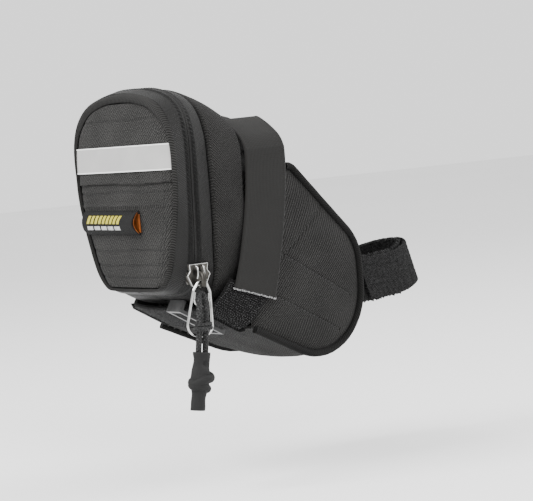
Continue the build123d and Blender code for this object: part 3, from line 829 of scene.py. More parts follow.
def on_panel(points, lift=0.1):
    """Points (y, z) laid on the rear panel."""
    points = np.asarray(points, float)
    x = REAR_X + PANEL_SKIN - panel_out(points[:, 0], points[:, 1]) - lift
    return np.column_stack([x, points])


STITCH_INSETS = (3.4, 5.6)
STITCH_SPANS = ((66.0, 74.0), (38.5, 53.5), (12.0, 36.0))


def make_panel_stitches():
    """Rows across the panel at its seams, and two upright rows by its right edge."""
    lines = []
    rearwards = np.array([-1.0, 0.0, 0.0])
    for seam, _ in SEAMS_Z:
        reach = float(panel_half_width(seam)) - 2.2
        ys = np.linspace(-reach, reach, 60)
        lines.append((on_panel(np.column_stack([ys, seam_height(ys, seam)])), rearwards))
    for inset in STITCH_INSETS:
        for low, high in STITCH_SPANS:
            zs = np.linspace(low, high, 40)
            lines.append((on_panel(np.column_stack([-(panel_half_width(zs) - inset), zs])), rearwards))
    sew("rear_panel_stitches", lines, 1.7, THREAD, "lid", "woven_fabric", thread=0.3)


def make_lid_binding():
    """The folded edge that joins the rear panel to the band."""
    share = np.linspace(0, 1, 14)
    roll = np.sin(math.pi * share)
    xs = REAR_X + 1.5 + 1.0 * share - 1.5 * roll
    ripple = 0.12 * wander(run_along(rim), 0 * rim[:, 0], 2.6, 4)
    proud = [0.35 * r + ripple * r for r in roll]
    grid = ring_grid(panel_edge, rim, xs, share, proud)
    made = shell("lid_binding", grid, 0.8, BINDING, LINING, wrap=True)
    attach(made, "lid", "piping_fabric", "lid_piping")


COIL_PITCH = 1.7
COIL_OFFSET = 1.7
SLIT_HALF = 0.06
BUMP_DEPTH = 0.4
BUMPS_START_Z = 17.0  # the bumps fade in above the slider's lowest place


def coil_bumps(x, centre, section):
    """Bumps that the zip's coil presses into the band, along one line round the box."""
    run = run_along(section)
    column = np.exp(-(((x - centre) / 0.65) ** 2))
    wave = np.clip(np.sin(2 * math.pi * run / COIL_PITCH), 0, 1)
    fade = np.clip((section[:, 1] - BUMPS_START_Z) / 8.0, 0.0, 1.0)
    return BUMP_DEPTH * column * wave * fade


def band_grid(start, end, x_start, x_end, centre, rows=34, tuck_start=0.0, tuck_end=0.0):
    xs = np.linspace(x_start, x_end, rows)
    shares = np.linspace(0, 1, rows)
    proud = []
    for x, share in zip(xs, shares):
        section = start * (1 - share) + end * share
        run = run_along(section)
        out = coil_bumps(x, centre, section)
        out = out + 0.22 * wander(run, x + 0 * run, 6.0, 2)
        out = out + 0.25 * math.sin(math.pi * share)
        edge = tuck_start * math.exp(-(((x - x_start) / 0.5) ** 2))
        edge += tuck_end * math.exp(-(((x - x_end) / 0.5) ** 2))
        proud.append(out - edge)
    return ring_grid(start, end, xs, shares, proud)


def make_bands():
    lid = band_grid(rim, zip_line, RIM_X - 0.2, SEAM_X - SLIT_HALF, SEAM_X - COIL_OFFSET, tuck_end=0.12)
    made = shell("lid_band_cloth", lid, 1.0, COATED, LINING, wrap=True)
    attach(made, "lid", "coated_fabric", "lid_band")
    body = band_grid(
        zip_line, crease, SEAM_X + SLIT_HALF, CREASE_X + 0.3, SEAM_X + COIL_OFFSET,
        rows=38, tuck_start=0.12, tuck_end=1.7,
    )
    made = shell("body_band_cloth", body, 1.0, COATED, LINING, wrap=True)
    attach(made, "bag", "coated_fabric", "body_band")


TURN_X = 1.35  # how far the middle of each coil is from the seam's plane
TURN_INSET = 1.9
TURN_PITCH = 1.3
TURN_SIZE = (2.3, 0.85, 1.1)


def make_zip_coils():
    """Each half of the zip: a coil's turns side by side round the box."""
    for name, node, body, x in (
        ("lid_coil", "lid_zip_coil", "lid", SEAM_X - TURN_X),
        ("body_coil", "body_zip_coil", "bag", SEAM_X + TURN_X),
    ):
        inner = zip_line - outwards(zip_line) * TURN_INSET
        count = int(run_along(zip_line)[-1] / TURN_PITCH)
        line = evenly(inner, count, closed=True)
        centres = np.column_stack([np.full(count, x), line])
        along = tangents(line, closed=True)
        facing = np.column_stack([np.zeros(count), -along[:, 1], along[:, 0]])
        axes = np.tile((1.0, 0.0, 0.0), (count, 1))
        made = beads(name, centres, axes, facing, TURN_SIZE, COIL)
        attach(made, body, "zip_coil", node)


STRIP_LOW = 54.2
STRIP_HIGH = 64.5


def make_reflective_strip():
    """Silver tape right across the panel, with a pale woven edge above and below."""
    for name, low, high, lift, material in (
        ("reflective_strip_tape", STRIP_LOW, STRIP_HIGH, 0.45, TAPE),
        ("reflective_strip_low_edge", STRIP_LOW - 0.1, STRIP_LOW + 0.45, 0.55, TAPE_EDGE),
        ("reflective_strip_high_edge", STRIP_HIGH - 0.45, STRIP_HIGH + 0.1, 0.55, TAPE_EDGE),
    ):
        zs = np.linspace(low, high, 24 if high - low > 1 else 4)
        columns = np.linspace(-1, 1, 120)
        rows = []
        for z in zs:
            ys = columns * (float(panel_half_width(z)) + 0.1)
            inside = np.minimum(np.abs(columns), 0.985) * np.sign(columns)
            place = on_panel(np.column_stack([inside * float(panel_half_width(z)), np.full(120, z)]), lift)
            place[:, 1] = ys
            rows.append(place)
        made = shell(name, np.array(rows), 0.3, material)
        attach(made, "lid", "reflective_tape")
        if material is TAPE:
            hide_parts("reflective_strip")


LABEL_LOW = 28.6
LABEL_HIGH = 38.9
LABEL_LEFT = 30.3
LABEL_RIGHT = -12.0
LABEL_DROOP = 0.3  # how much lower the open end hangs
ORANGE_START_Y = 8.0  # the bright lining reaches in from the open end to here
MARK_LIFT = 0.13  # how far the printed marks' faces stand off the loop


def label_depth(y):
    """How far the light loop stands out at a place along it: most at its open end."""
    share = np.clip((y - LABEL_RIGHT) / (LABEL_LEFT - LABEL_RIGHT), 0, 1)
    return 4.4 - 1.8 * share + 0.5 * np.sin(6.0 * share) * (1 - share)


def droop(y):
    """How much lower the loop hangs at a place along it."""
    return LABEL_DROOP * np.clip((LABEL_LEFT - y) / (LABEL_LEFT - LABEL_RIGHT), 0, 1)


def on_label(y, z, inset=0.0):
    """x on the loop's outer face; inset goes inwards."""
    t = np.clip((z + droop(y) - LABEL_LOW) / (LABEL_HIGH - LABEL_LOW), 0, 1)
    return REAR_X - 0.2 - (label_depth(y) - inset) * np.sin(math.pi * t) ** 0.7


def loop_grid(y_start, y_end, inset, rows=60, columns=26):
    ys = np.linspace(y_start, y_end, rows)
    ts = np.linspace(0.02, 0.98, columns)
    grid = np.zeros((rows, columns, 3))
    for i, y in enumerate(ys):
        corner = np.clip((y - (LABEL_LEFT - 2.5)) / 2.5, 0, 1) ** 2
        low = LABEL_LOW + inset + 1.8 * corner
        high = LABEL_HIGH - inset - 0.5 * corner
        z = low + (high - low) * ts - droop(y)
        grid[i] = np.column_stack([on_label(y, z, inset), np.full(columns, y), z])
    return grid


def make_light_loop():
    outer = loop_grid(LABEL_LEFT, LABEL_RIGHT, 0.0)
    made = shell("light_loop_cloth", outer, 0.55, LABEL)
    attach(made, "lid", "label_fabric", "light_loop")
    inner = shell("light_loop_inside", loop_grid(ORANGE_START_Y, LABEL_RIGHT - 0.05, 0.7), 0.25, ORANGE)
    ys = np.linspace(ORANGE_START_Y, LABEL_RIGHT, 20)
    zs = np.linspace(LABEL_LOW + 1.2, LABEL_HIGH - 1.6, 12)
    y, z = np.meshgrid(ys, zs, indexing="ij")
    back = np.stack([np.full_like(y, REAR_X - 0.9), y, z - droop(y)], axis=2)
    back_wall = shell("light_loop_back", back, 0.3, ORANGE)
    for piece in (inner, back_wall):
        attach(piece, "lid", "orange_lining")
    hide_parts("light_loop_lining")


def make_label_marks():
    """Generic marks on the label: a row of slanted bars over a broken line."""
    for name, material, first, pitch, width, low, high, slant, count in (
        ("label_bars", YELLOW, 26.0, 3.2, 2.1, 33.6, 36.9, 1.1, 9),
        ("label_dashes", WHITE, 26.4, 5.8, 4.6, 31.0, 32.6, 0.6, 5),
    ):
        for k in range(count):
            zs = np.linspace(low, high, 6)
            left = first - k * pitch - slant * (zs - low) / (high - low)
            grid = np.zeros((6, 4, 3))
            for j, share in enumerate(np.linspace(1, 0, 4)):
                y = left - width * share
                z = zs - droop(y)
                grid[:, j] = np.column_stack([on_label(y, z) - MARK_LIFT, y, z])
            attach(shell(f"{name}_{k}", grid, 0.1, material), "lid", "label_fabric")


make_rear_panel()
make_panel_stitches()
make_lid_binding()
make_bands()
make_zip_coils()
make_reflective_strip()
make_light_loop()
make_label_marks()

# ---- box of the bag ------------------------------------------------------------------


def make_box():
    """The cloth round the box, swollen a little, with rolled edges."""
    share = np.linspace(0, 1, 40)
    xs = CREASE_X + 0.2 + (BOX_FRONT_X - CREASE_X + 0.3) * share
    proud = []
    for x, s in zip(xs, share):
        run = run_along(crease)
        swell = 1.5 * math.sin(math.pi * s) ** 0.6
        rear_tuck = 1.3 * math.exp(-(((x - xs[0]) / 0.6) ** 2))
        front_tuck = 2.2 * math.exp(-(((x - xs[-1]) / 1.1) ** 2))
        proud.append(swell - rear_tuck - front_tuck + 0.35 * wander(run, x + 0 * run, 7.0, 5))
    grid = ring_grid(crease, box_front, xs, share, proud)
    made = shell("box_gusset_cloth", grid, 1.1, TWILL, LINING, wrap=True)
    attach(made, "bag", "woven_fabric", "box_gusset")
    share = np.linspace(0, 0.9, 20)
    foam = ring_grid(crease, box_front, CREASE_X + 1.0 + 15.0 * share, share, np.full(20, -1.6))
    made = shell("box_foam_board", foam, 1.4, FOAM, LINING, wrap=True)
    attach(made, "bag", "foam_board", "box_foam")


def make_waist():
    """The box's front wall, from its front edge in to the wedge's mouth."""
    middle = np.array([0.0, 30.0])
    rows = []
    for share in np.linspace(0, 1, 14):
        section = box_front - outwards(box_front) * (1.2 + 0.6 * math.sin(math.pi * share / 2))
        section = middle + (section - middle) * (1 - 0.34 * share)
        x = BOX_FRONT_X - 0.3 + 0.9 * math.sin(math.pi * share) - 0.4 * share
        rows.append(np.column_stack([np.full(OUTLINE_POINTS, x), section]))
    made = shell("waist_cloth", np.array(rows), 1.0, TWILL, LINING, wrap=True)
    attach(made, "bag", "woven_fabric", "waist_wall")


HINGE_HALF = 14.0
HINGE_Z = 5.9
HINGE_STEP_X = -109.0  # where the tape steps down 1 mm onto the bag's band


def make_hinge_tape():
    """The strip inside the foot that the lid folds about."""
    xs = np.linspace(SEAM_X - 4.5, CREASE_X - 0.5, 24)
    ys = np.linspace(-HINGE_HALF, HINGE_HALF, 30)
    x, y = np.meshgrid(xs, ys, indexing="ij")
    z = HINGE_Z - np.clip((x - HINGE_STEP_X) / 2, 0, 1) + 0.25 * np.sin(y / 3)
    made = shell("hinge_tape_cloth", np.stack([x, y, z], axis=2)[::-1], 0.7, BINDING)
    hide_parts("lid_hinge_tape")
    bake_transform(made)


make_box()
make_waist()
make_hinge_tape()

# ---- wedge ---------------------------------------------------------------------------

WEDGE_X = -90.6
NOSE_X = -27.5
REAR_HALF = 35.0
NOSE_HALF = 25.5
WEDGE_TOP = 50.0
TOP_LENGTH = 27.8
NOSE_TOP_Z = 15.4
KEEL_Z = -42.3
REAR_FOOT_Z = -12.5
TAPER_START_X = -91.0
ROOF_CURL = 2.2  # how far forward the roof's front edge curls down
taper = math.atan2(REAR_HALF - NOSE_HALF, NOSE_X - TAPER_START_X)
wedge_length = NOSE_X - WEDGE_X
leaf = filleted(
    [
        (0, WEDGE_TOP),
        (TOP_LENGTH, WEDGE_TOP),
        (wedge_length, NOSE_TOP_Z),
        (wedge_length, KEEL_Z),
        (0, REAR_FOOT_Z),
    ],
    [0.5, 4.0, 20.0, 26.0, 0.5],
    steps=16,
)
leaf = evenly(leaf, 900, closed=True)
# Sewn lines across the side panel, from (x, z) to (x, z).
LEAF_SEAMS = [((-74.5, 13), (-47, 32.5)), ((-74.5, 16.5), (-35, -6)), ((-79, -1), (-43, -19.5))]


def side_place(a, z, out):
    """A point on the right side panel: a runs forward along it."""
    return np.stack(
        [
            WEDGE_X + a * math.cos(taper) + out * math.sin(taper),
            -REAR_HALF + a * math.sin(taper) - out * math.cos(taper),
            z + 0 * a,
        ],
        axis=-1,
    )


def seam_distance(a, z, seam):
    """Distance to a sewn line on the side panel."""
    start, end = (np.array([(x - WEDGE_X) / math.cos(taper), z_]) for x, z_ in seam)
    line = end - start
    share = np.clip(((a - start[0]) * line[0] + (z - start[1]) * line[1]) / (line @ line), 0, 1)
    return np.hypot(a - start[0] - share * line[0], z - start[1] - share * line[1])


def leaf_corner(a, z):
    """The number of the outline's point that is nearest to a place."""
    return int(np.argmin(np.hypot(leaf[:, 0] - a, leaf[:, 1] - z)))


def leaf_span(z):
    """Where the side panel starts and ends at a height."""
    here, after = leaf, np.roll(leaf, -1, axis=0)
    crosses = (here[:, 1] - z) * (after[:, 1] - z) <= 0
    a, b = here[crosses], after[crosses]
    rise = np.where(np.abs(b[:, 1] - a[:, 1]) < 1e-9, 1e-9, b[:, 1] - a[:, 1])
    at = a[:, 0] + (b[:, 0] - a[:, 0]) * np.clip((z - a[:, 1]) / rise, 0, 1)
    return at.min(), at.max()


def leaf_out(a, z, edge):
    """How far the side panel swells, from its distance to the nearest edge."""
    out = 2.3 * (1 - np.exp(-edge / 6.0)) - 0.5 * np.exp(-edge / 0.8)
    for seam in LEAF_SEAMS:
        out = out + groove(seam_distance(a, z, seam), 0.5, 0.6)
    return out + 0.3 * wander(a, z, 8.0, 7)


def leaf_edge(a, z):
    """Distance from points on the side panel to its outline."""
    flat = np.column_stack([np.ravel(a), np.ravel(z)])
    coarse = leaf[::3]
    nearest = np.min(np.linalg.norm(flat[:, None] - coarse[None], axis=2), axis=1)
    return nearest.reshape(np.shape(a))


def leaf_grid(rows=150, columns=130, inset=0.0):
    bottom, top = leaf[:, 1].min() + 0.05 + inset, WEDGE_TOP - 0.05 - inset
    share = np.linspace(0, 1, rows) ** 1.25
    grid = np.zeros((rows, columns, 2))
    for i, z in enumerate(bottom + (top - bottom) * share):
        start, end = leaf_span(z)
        grid[i, :, 0] = np.linspace(start + inset, max(end - inset, start + inset + 0.5), columns)
        grid[i, :, 1] = z
    return grid


def make_side_panels():
    flat = leaf_grid()
    a, z = flat[:, :, 0], flat[:, :, 1]
    right = side_place(a, z, leaf_out(a, z, leaf_edge(a, z)))[:, ::-1]
    lining_flat = leaf_grid(50, 50, inset=2.0)
    a2, z2 = lining_flat[:, :, 0], lining_flat[:, :, 1]
    lining = side_place(a2, z2, -2.7 + 0.2 * np.cos(a2 / 3) * np.cos(z2 / 3))
    seams = []
    for start, end in LEAF_SEAMS:
        points = np.linspace(start, end, 50)
        along = (points[:, 0] - WEDGE_X) / math.cos(taper)
        up = points[:, 1]
        place = side_place(along, up, leaf_out(along, up, leaf_edge(along, up)) + 0.12)
        seams.append((place, np.array([math.sin(taper), -math.cos(taper), 0.0])))
    for side, grid, inner, lines in (
        ("right", right, lining, seams),
        ("left", mirrored(right), mirrored(lining), [(p * OTHER_SIDE, n * OTHER_SIDE) for p, n in seams]),
    ):
        made = shell(f"side_panel_{side}_cloth", grid, 1.2, LEAF, LINING)
        attach(made, "bag", "woven_fabric", f"side_panel_{side}")
        made = shell(f"side_lining_{side}_cloth", inner, 0.5, LINING)
        attach(made, "bag", "lining_fabric", f"side_lining_{side}", f"side_foam_{side}")
        sew(f"side_stitches_{side}", lines, 1.9, PALE_THREAD, "bag", "woven_fabric", thread=0.34)


def strip_along(path, crown, columns=60):
    """A strip of cloth between the two side panels, along their outline."""
    s = np.linspace(-1, 1, columns)
    grid = np.zeros((len(path), columns, 3))
    for i, ((a, z), n) in enumerate(zip(path, outwards(path, closed=False))):
        half = REAR_HALF - a * math.sin(taper) - 0.6
        rise = crown[i] * (1 - s**2) ** 0.8 + 0.35 * wander(s * half, np.full(columns, i * 0.7), 6.0, 3)
        rise = rise * np.clip((1 - np.abs(s)) * 12, 0, 1)
        grid[i, :, 0] = WEDGE_X + (a + n[0] * rise) * math.cos(taper)
        grid[i, :, 1] = s * half
        grid[i, :, 2] = z + n[1] * rise
    return grid


def make_gussets():
    start = leaf_corner(TOP_LENGTH, WEDGE_TOP - 0.6)
    nose = leaf_corner(wedge_length, -12.0)
    end = leaf_corner(0.6, -13.0)
    sag = 1.6 * np.sin(math.pi * np.linspace(0, 1, 110)) ** 2
    for node, first, last, crown in (
        ("front_gusset", start, nose, np.full(90, 1.6)),
        ("bottom_gusset", nose, end, 1.6 + sag),
    ):
        path = evenly(leaf[first : last + 1], len(crown))
        made = shell(f"{node}_cloth", strip_along(path, crown), 1.1, TWILL, LINING)
        attach(made, "bag", "woven_fabric", node)


def make_piping():
    """The rolled edging of the side panels."""
    count = 260
    line = leaf + outwards(leaf) * 0.8
    first = leaf_corner(TOP_LENGTH - 2.5, WEDGE_TOP)
    last = leaf_corner(1.0, -13.3)
    kept = evenly(line[first : last + 1], count)
    right = side_place(kept[:, 0], kept[:, 1], np.full(count, 0.35))
    radius = 1.45 + 0.05 * wander(np.arange(count) * 0.5, np.zeros(count), 1.5, 2)
    for side, path in (("right", right), ("left", right * OTHER_SIDE)):
        made = tube(f"piping_{side}_cloth", path, radius, PIPING, sides=14)
        attach(made, "bag", "piping_fabric", f"piping_{side}")


def hump_half(shoulder, neck, top):
    """Half of the roof's section between the saddle rails, from its foot to the middle."""
    rise = top - WEDGE_TOP
    return [
        (shoulder, WEDGE_TOP),
        (shoulder - 4.5, WEDGE_TOP + 0.13 * rise),
        (shoulder - 13, WEDGE_TOP + 0.20 * rise),
        (neck + 1.4, WEDGE_TOP + 0.30 * rise),
        (neck, WEDGE_TOP + 0.58 * rise),
        (neck - 2, WEDGE_TOP + 0.84 * rise),
        (neck * 0.45, WEDGE_TOP + 0.97 * rise),
        (0, top),
    ]


# Sections of the roof: (x, half width at the foot, half width at the neck, top).
HUMP = [(WEDGE_X, 34.7, 15.2, 77.5), (-74.0, 31.5, 15.2, 73.0), (-62.8, 29.0, 14.0, 62.0)]


def make_hump():
    """The roof between the saddle rails, and its small front piece that curls down."""
    count = 90
    sections = []
    for _, shoulder, neck, top in HUMP:
        half = hump_half(shoulder, neck, top)
        full = [(-y, z) for y, z in half] + [(y, z) for y, z in half[-2::-1]]
        sections.append(evenly(smooth(full), count))
    rows = []
    xs = [s[0] for s in HUMP]
    for x in np.linspace(xs[0], xs[-1], 40):
        section = np.stack(
            [[np.interp(x, xs, [s[j, k] for s in sections]) for k in range(2)] for j in range(count)]
        )
        section[1:-1] += 0.4 * wander(section[1:-1, :1], x + section[1:-1, 1:], 5.0, 9)
        rows.append(np.column_stack([np.full(count, x), section]))
    last = sections[-1]
    for turn in np.linspace(0.15, 1.5, 8):
        section = last.copy()
        section[:, 0] *= 1 - 0.25 * (1 - math.cos(turn))
        section[:, 1] = WEDGE_TOP + (last[:, 1] - WEDGE_TOP) * math.cos(turn)
        rows.append(np.column_stack([np.full(count, xs[-1] + ROOF_CURL * math.sin(turn)), section]))
    made = shell("roof_cloth", np.array(rows), 1.1, TWILL, LINING)
    attach(made, "bag", "woven_fabric", "top_panel", "top_front_panel")


make_side_panels()
make_gussets()
make_piping()
make_hump()

# ---- straps --------------------------------------------------------------------------

STRAP_THICKNESS = 1.5
STRAP_HALF = 10.0
POST_STRAP_HALF = 9.5
RAIL_X = -80.4
RAIL_Y = 22.0
RAIL_Z = 67.0
PEEL_Z = 57.0
ANCHOR_Z = 58.5
LOOP_RADIUS = 5.1  # of the strap's outer face round a rail
SEWN_EDGE = slice(130, 250)  # the rows of the strap whose front edge shows stitches
STRAP_END_Z = -2.1
STRAP_END_RISE = 6.5  # how much higher the rear corner of the slanted end is
STRAP_END_BACK = 10.6  # how much further back the free end is than the rail


def selvedge(s):
    """The small roll along both edges of a strap, for places -1 to 1 across it."""
    edge = (1 - np.abs(s)) * STRAP_HALF
    return 0.14 * np.exp(-(((edge - 0.9) / 0.5) ** 2)) - 0.45 * np.exp(-edge / 0.3)


def saddle_strap_path():
    """The strap's outer face in (y, z): from its anchor over the rail and down the flank."""
    over = [
        (-RAIL_Y + LOOP_RADIUS * math.cos(a), RAIL_Z + LOOP_RADIUS * math.sin(a))
        for a in np.linspace(0, math.radians(112), 8)
    ]
    start = [(-RAIL_Y + LOOP_RADIUS, ANCHOR_Z)]
    down = [(-27.5, 70.1), (-31.6, 67.8), (-36.6, 64.2), (-39.3, 60.2), (-39.9, 55.5)]
    flank = [(-39.9, 30), (-39.8, 14), (-39.5, STRAP_END_Z)]
    return smooth(start + over + down + flank, steps=10)


def make_saddle_straps():
    path = evenly(saddle_strap_path(), 260)
    s = np.linspace(-1, 1, 46)
    grid = np.zeros((len(path), 46, 3))
    lean = np.clip((PEEL_Z - path[:, 1]) / (PEEL_Z - STRAP_END_Z), 0, 1) * (path[:, 0] < -30)
    out = outwards(path, closed=False)
    for i, (y, z) in enumerate(path):
        rise = selvedge(s) + 0.1 * wander(s * 10, np.full(46, i * 0.4), 5.0, 6)
        grid[i, :, 0] = RAIL_X - STRAP_END_BACK * lean[i] ** 1.5 + s * STRAP_HALF
        grid[i, :, 1] = y - out[i, 0] * rise
        grid[i, :, 2] = z - out[i, 1] * rise + STRAP_END_RISE * (1 - s) / 2 * lean[i] ** 3
    for side, outer, edge_column, place in (("right", -1.0, -2, grid), ("left", 1.0, 1, mirrored(grid))):
        made = shell(f"saddle_strap_{side}_web", place, STRAP_THICKNESS, WEBBING)
        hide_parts(f"saddle_strap_{side}", f"rail_loop_{side}")
        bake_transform(made)
        count = 80
        line = evenly(place[-1], count)
        line = line + rng.normal(0, 0.1, line.shape)
        axes = np.tile((0.0, 0.0, -1.0), (count, 1)) + rng.normal(0, 0.35, (count, 3))
        facing = np.tile((0.0, outer, 0.0), (count, 1))
        fray = beads(f"strap_fray_{side}", line, axes, facing, (0.9, 0.24, 0.24), FRAY, rings=4, sides=5)
        attach(fray, f"strap_{side}", "strap_webbing")
        edge_line = place[SEWN_EDGE, edge_column] + np.array([0, 0.12 * outer, 0])
        lines = [(edge_line, facing[0])]
        sew(f"strap_edge_{side}", lines, 1.1, PALE_THREAD, f"strap_{side}", "strap_webbing", thread=0.22)


BELLY_SLOPE = math.radians(30.0)
belly_across = np.array([math.cos(BELLY_SLOPE), 0.0, -math.sin(BELLY_SLOPE)])
belly_up = np.array([math.sin(BELLY_SLOPE), 0.0, math.cos(BELLY_SLOPE)])
belly_origin = np.array([-102.5, 0.0, -7.6])
BELLY_HALF = 37.1
BELLY_LEG = 13.0
BELLY_CORNER = 7.0
BELLY_SKIN = 0.8  # from the strap's middle layer to its outer face
BELLY_SKEW = 0.25  # how much more the legs lean forward than the strap's plane
BELLY_FAR_SHIFT = 9.0  # how much further forward the left end lies


def belly_path():
    """The strap's outer face under the bag, in (y, up) of its plane."""
    radius = BELLY_CORNER + BELLY_SKIN
    corner = [
        (-BELLY_HALF + BELLY_CORNER - radius * math.cos(a), BELLY_CORNER - radius * math.sin(a))
        for a in np.linspace(0, math.pi / 2, 7)
    ]
    right = [(-BELLY_HALF - BELLY_SKIN, up) for up in (BELLY_LEG, 10.0)] + corner
    left = [(-y, up) for y, up in right[::-1]]
    return smooth(right + [(0.0, -BELLY_SKIN)] + left, steps=10)


def make_belly_strap():
    path = evenly(belly_path(), 240)
    s = np.linspace(-1, 1, 40)
    grid = np.zeros((240, 40, 3))
    for i, (y, up) in enumerate(path):
        across = s[:, None] * STRAP_HALF * belly_across
        grid[i] = belly_origin + up * belly_up + across
        far = np.clip(y / BELLY_HALF, 0, 1)
        grid[i, :, 0] += BELLY_SKEW * max(up, 0.0) + BELLY_FAR_SHIFT * far**2
        grid[i, :, 1] = y
    normals = grid_normals(grid, False)
    grid = grid + normals * selvedge(s)[None, :, None]
    made = shell("belly_strap_web", grid, STRAP_THICKNESS, HOOK)
    attach(made, "bag", "hook_tape", "belly_strap")
    # Hooks stand in rows over the tape, leaning along it.
    rows, columns = np.arange(3, 237, 2), np.arange(2, 38, 2)
    i, j = (k.ravel() for k in np.meshgrid(rows, columns, indexing="ij"))
    centres = grid[i, j] + normals[i, j] * 0.15 + rng.normal(0, 0.12, (len(i), 3))
    axes = normals[i, j] + rng.normal(0, 0.35, (len(i), 3))
    facing = np.cross(axes, belly_across)
    hooks = beads("belly_hooks", centres, axes, facing, (1.1, 0.3, 0.3), HOOK_TIP, rings=4, sides=5)
    attach(hooks, "bag", "hook_tape")


LEAN = math.radians(17.0)
post_along = np.array([math.cos(LEAN), 0.0, math.sin(LEAN)])
post_axis = np.array([-math.sin(LEAN), 0.0, math.cos(LEAN)])
POST_OUTER = 15.2
POST_ANCHOR = 25.0  # how far behind the post's middle both straps start
POST_RISE = 0.22  # how steeply the strap's straight ends climb towards the bag


def post_grid(path, rows, fuzz):
    """A fuzzy strap round the post, along a path (forward, y) of its outer face."""
    path = evenly(smooth(path, steps=10), rows)
    columns = 64
    s = np.linspace(1, -1, columns)
    grid = np.zeros((rows, columns, 3))
    for i, (a, y) in enumerate(path):
        edge = rng.normal(0, 0.08, columns) * (np.abs(s) > 0.96)
        up = s * POST_STRAP_HALF + edge + POST_RISE * max(-a, 0.0)
        grid[i] = a * post_along + up[:, None] * post_axis
        grid[i, :, 1] += y
    normals = grid_normals(grid, False)
    pile = fuzz * rng.random((rows, columns)) + 0.7 * selvedge(s)[None, :]
    return grid + normals * pile[:, :, None]


def make_seatpost_strap():
    """One layer round the post, and the free tail that closes over it."""
    turn = np.radians(np.linspace(90, -90, 13))
    swell = np.interp(np.degrees(turn)[::-1], [-90, -50, -12, 0, 90], [2.0, 2.5, 0.8, 0.1, 0.0])[::-1]
    outer = [(-POST_ANCHOR, POST_OUTER), (-12.0, POST_OUTER)]
    outer += [((POST_OUTER + w) * math.cos(t), (POST_OUTER + w) * math.sin(t)) for t, w in zip(turn, swell)]
    outer += [(-9.0, -POST_OUTER - 2.0), (-18.0, -POST_OUTER - 1.9)]
    made = shell("seatpost_strap_loop", post_grid(outer, 230, 0.32), STRAP_THICKNESS, LOOP, HOOK)
    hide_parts("seatpost_strap_tail")
    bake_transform(made)
    inner = [(-POST_ANCHOR, -POST_OUTER), (-12.0, -POST_OUTER)]
    turn = np.radians(np.linspace(-90, -25, 6))
    inner += [(POST_OUTER * math.cos(t), POST_OUTER * math.sin(t)) for t in turn]
    made = shell("seatpost_strap_under", post_grid(inner, 110, 0.2)[::-1], STRAP_THICKNESS, LOOP, HOOK)
    attach(made, "bag", "loop_tape", "seatpost_strap")
    ys = np.linspace(-POST_OUTER, POST_OUTER, 40)
    behind = POST_ANCHOR - 1.0
    grid = np.zeros((30, 40, 3))
    for i, up in enumerate(np.linspace(-1, 1, 30)):
        grid[i] = -behind * post_along + (up * POST_STRAP_HALF + behind * POST_RISE) * post_axis
        grid[i, :, 1] = ys
        grid[i, :, 0] += 0.5 * np.cos(ys / 10)
    made = shell("seatpost_strap_patch_cloth", grid[::-1], 1.3, WEBBING)
    attach(made, "bag", "strap_webbing", "seatpost_strap_patch")


make_saddle_straps()
make_belly_strap()
make_seatpost_strap()

# ---- slider, ring and grip ------------------------------------------------------------

slider_low, slider_high = (np.array(corner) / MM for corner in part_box("zip_slider"))
SLIDER_Z = (slider_low[2] + slider_high[2]) / 2
TILT = math.atan(0.076)
slider_out = np.array([0.0, -math.cos(TILT), -math.sin(TILT)])
slider_up = np.array([0.0, -math.sin(TILT), math.cos(TILT)])
PLATE_HALF = [(0, 4.4), (4.4, 4.4), (4.0, 1.8), (5.4, 0.0), (3.2, -4.4), (0, -4.4)]


def both_sides(half):
    """A closed outline from its half on one side of the middle."""
    return half + [(-x, up) for x, up in half[-2:0:-1]]


def on_slider(base, places):
    """Points (up, out) from a base, in the slider's own tilted directions."""
    return [base + up * slider_up + out * slider_out for up, out in places]


def plate(name, half, base, thickness, bevel=0.35):
    """A bevelled plate on the slider from half of its outline (x, up)."""
    points = both_sides(half)
    count = len(points)
    layers = []
    levels = [(0.0, 0.0), (thickness - bevel, 0.0), (thickness, bevel)]
    centre = np.array([0.0, np.mean([p[1] for p in points])])
    for out, inset in levels:
        for p in points:
            q = np.array(p, float) - centre
            q = q * (1 - inset / max(np.linalg.norm(q), 1e-6)) + centre
            place = base + out * slider_out + q[1] * slider_up
            layers.append(place + np.array([q[0], 0, 0]))
    faces = [list(range(count))[::-1]]
    for k in range(len(levels) - 1):
        for i in range(count):
            j = (i + 1) % count
            faces.append([k * count + i, k * count + j, (k + 1) * count + j, (k + 1) * count + i])
    faces.append(list(range((len(levels) - 1) * count, len(levels) * count)))
    return make_object(name, layers, faces, [GUNMETAL], flat_faces=list(range(len(faces))))


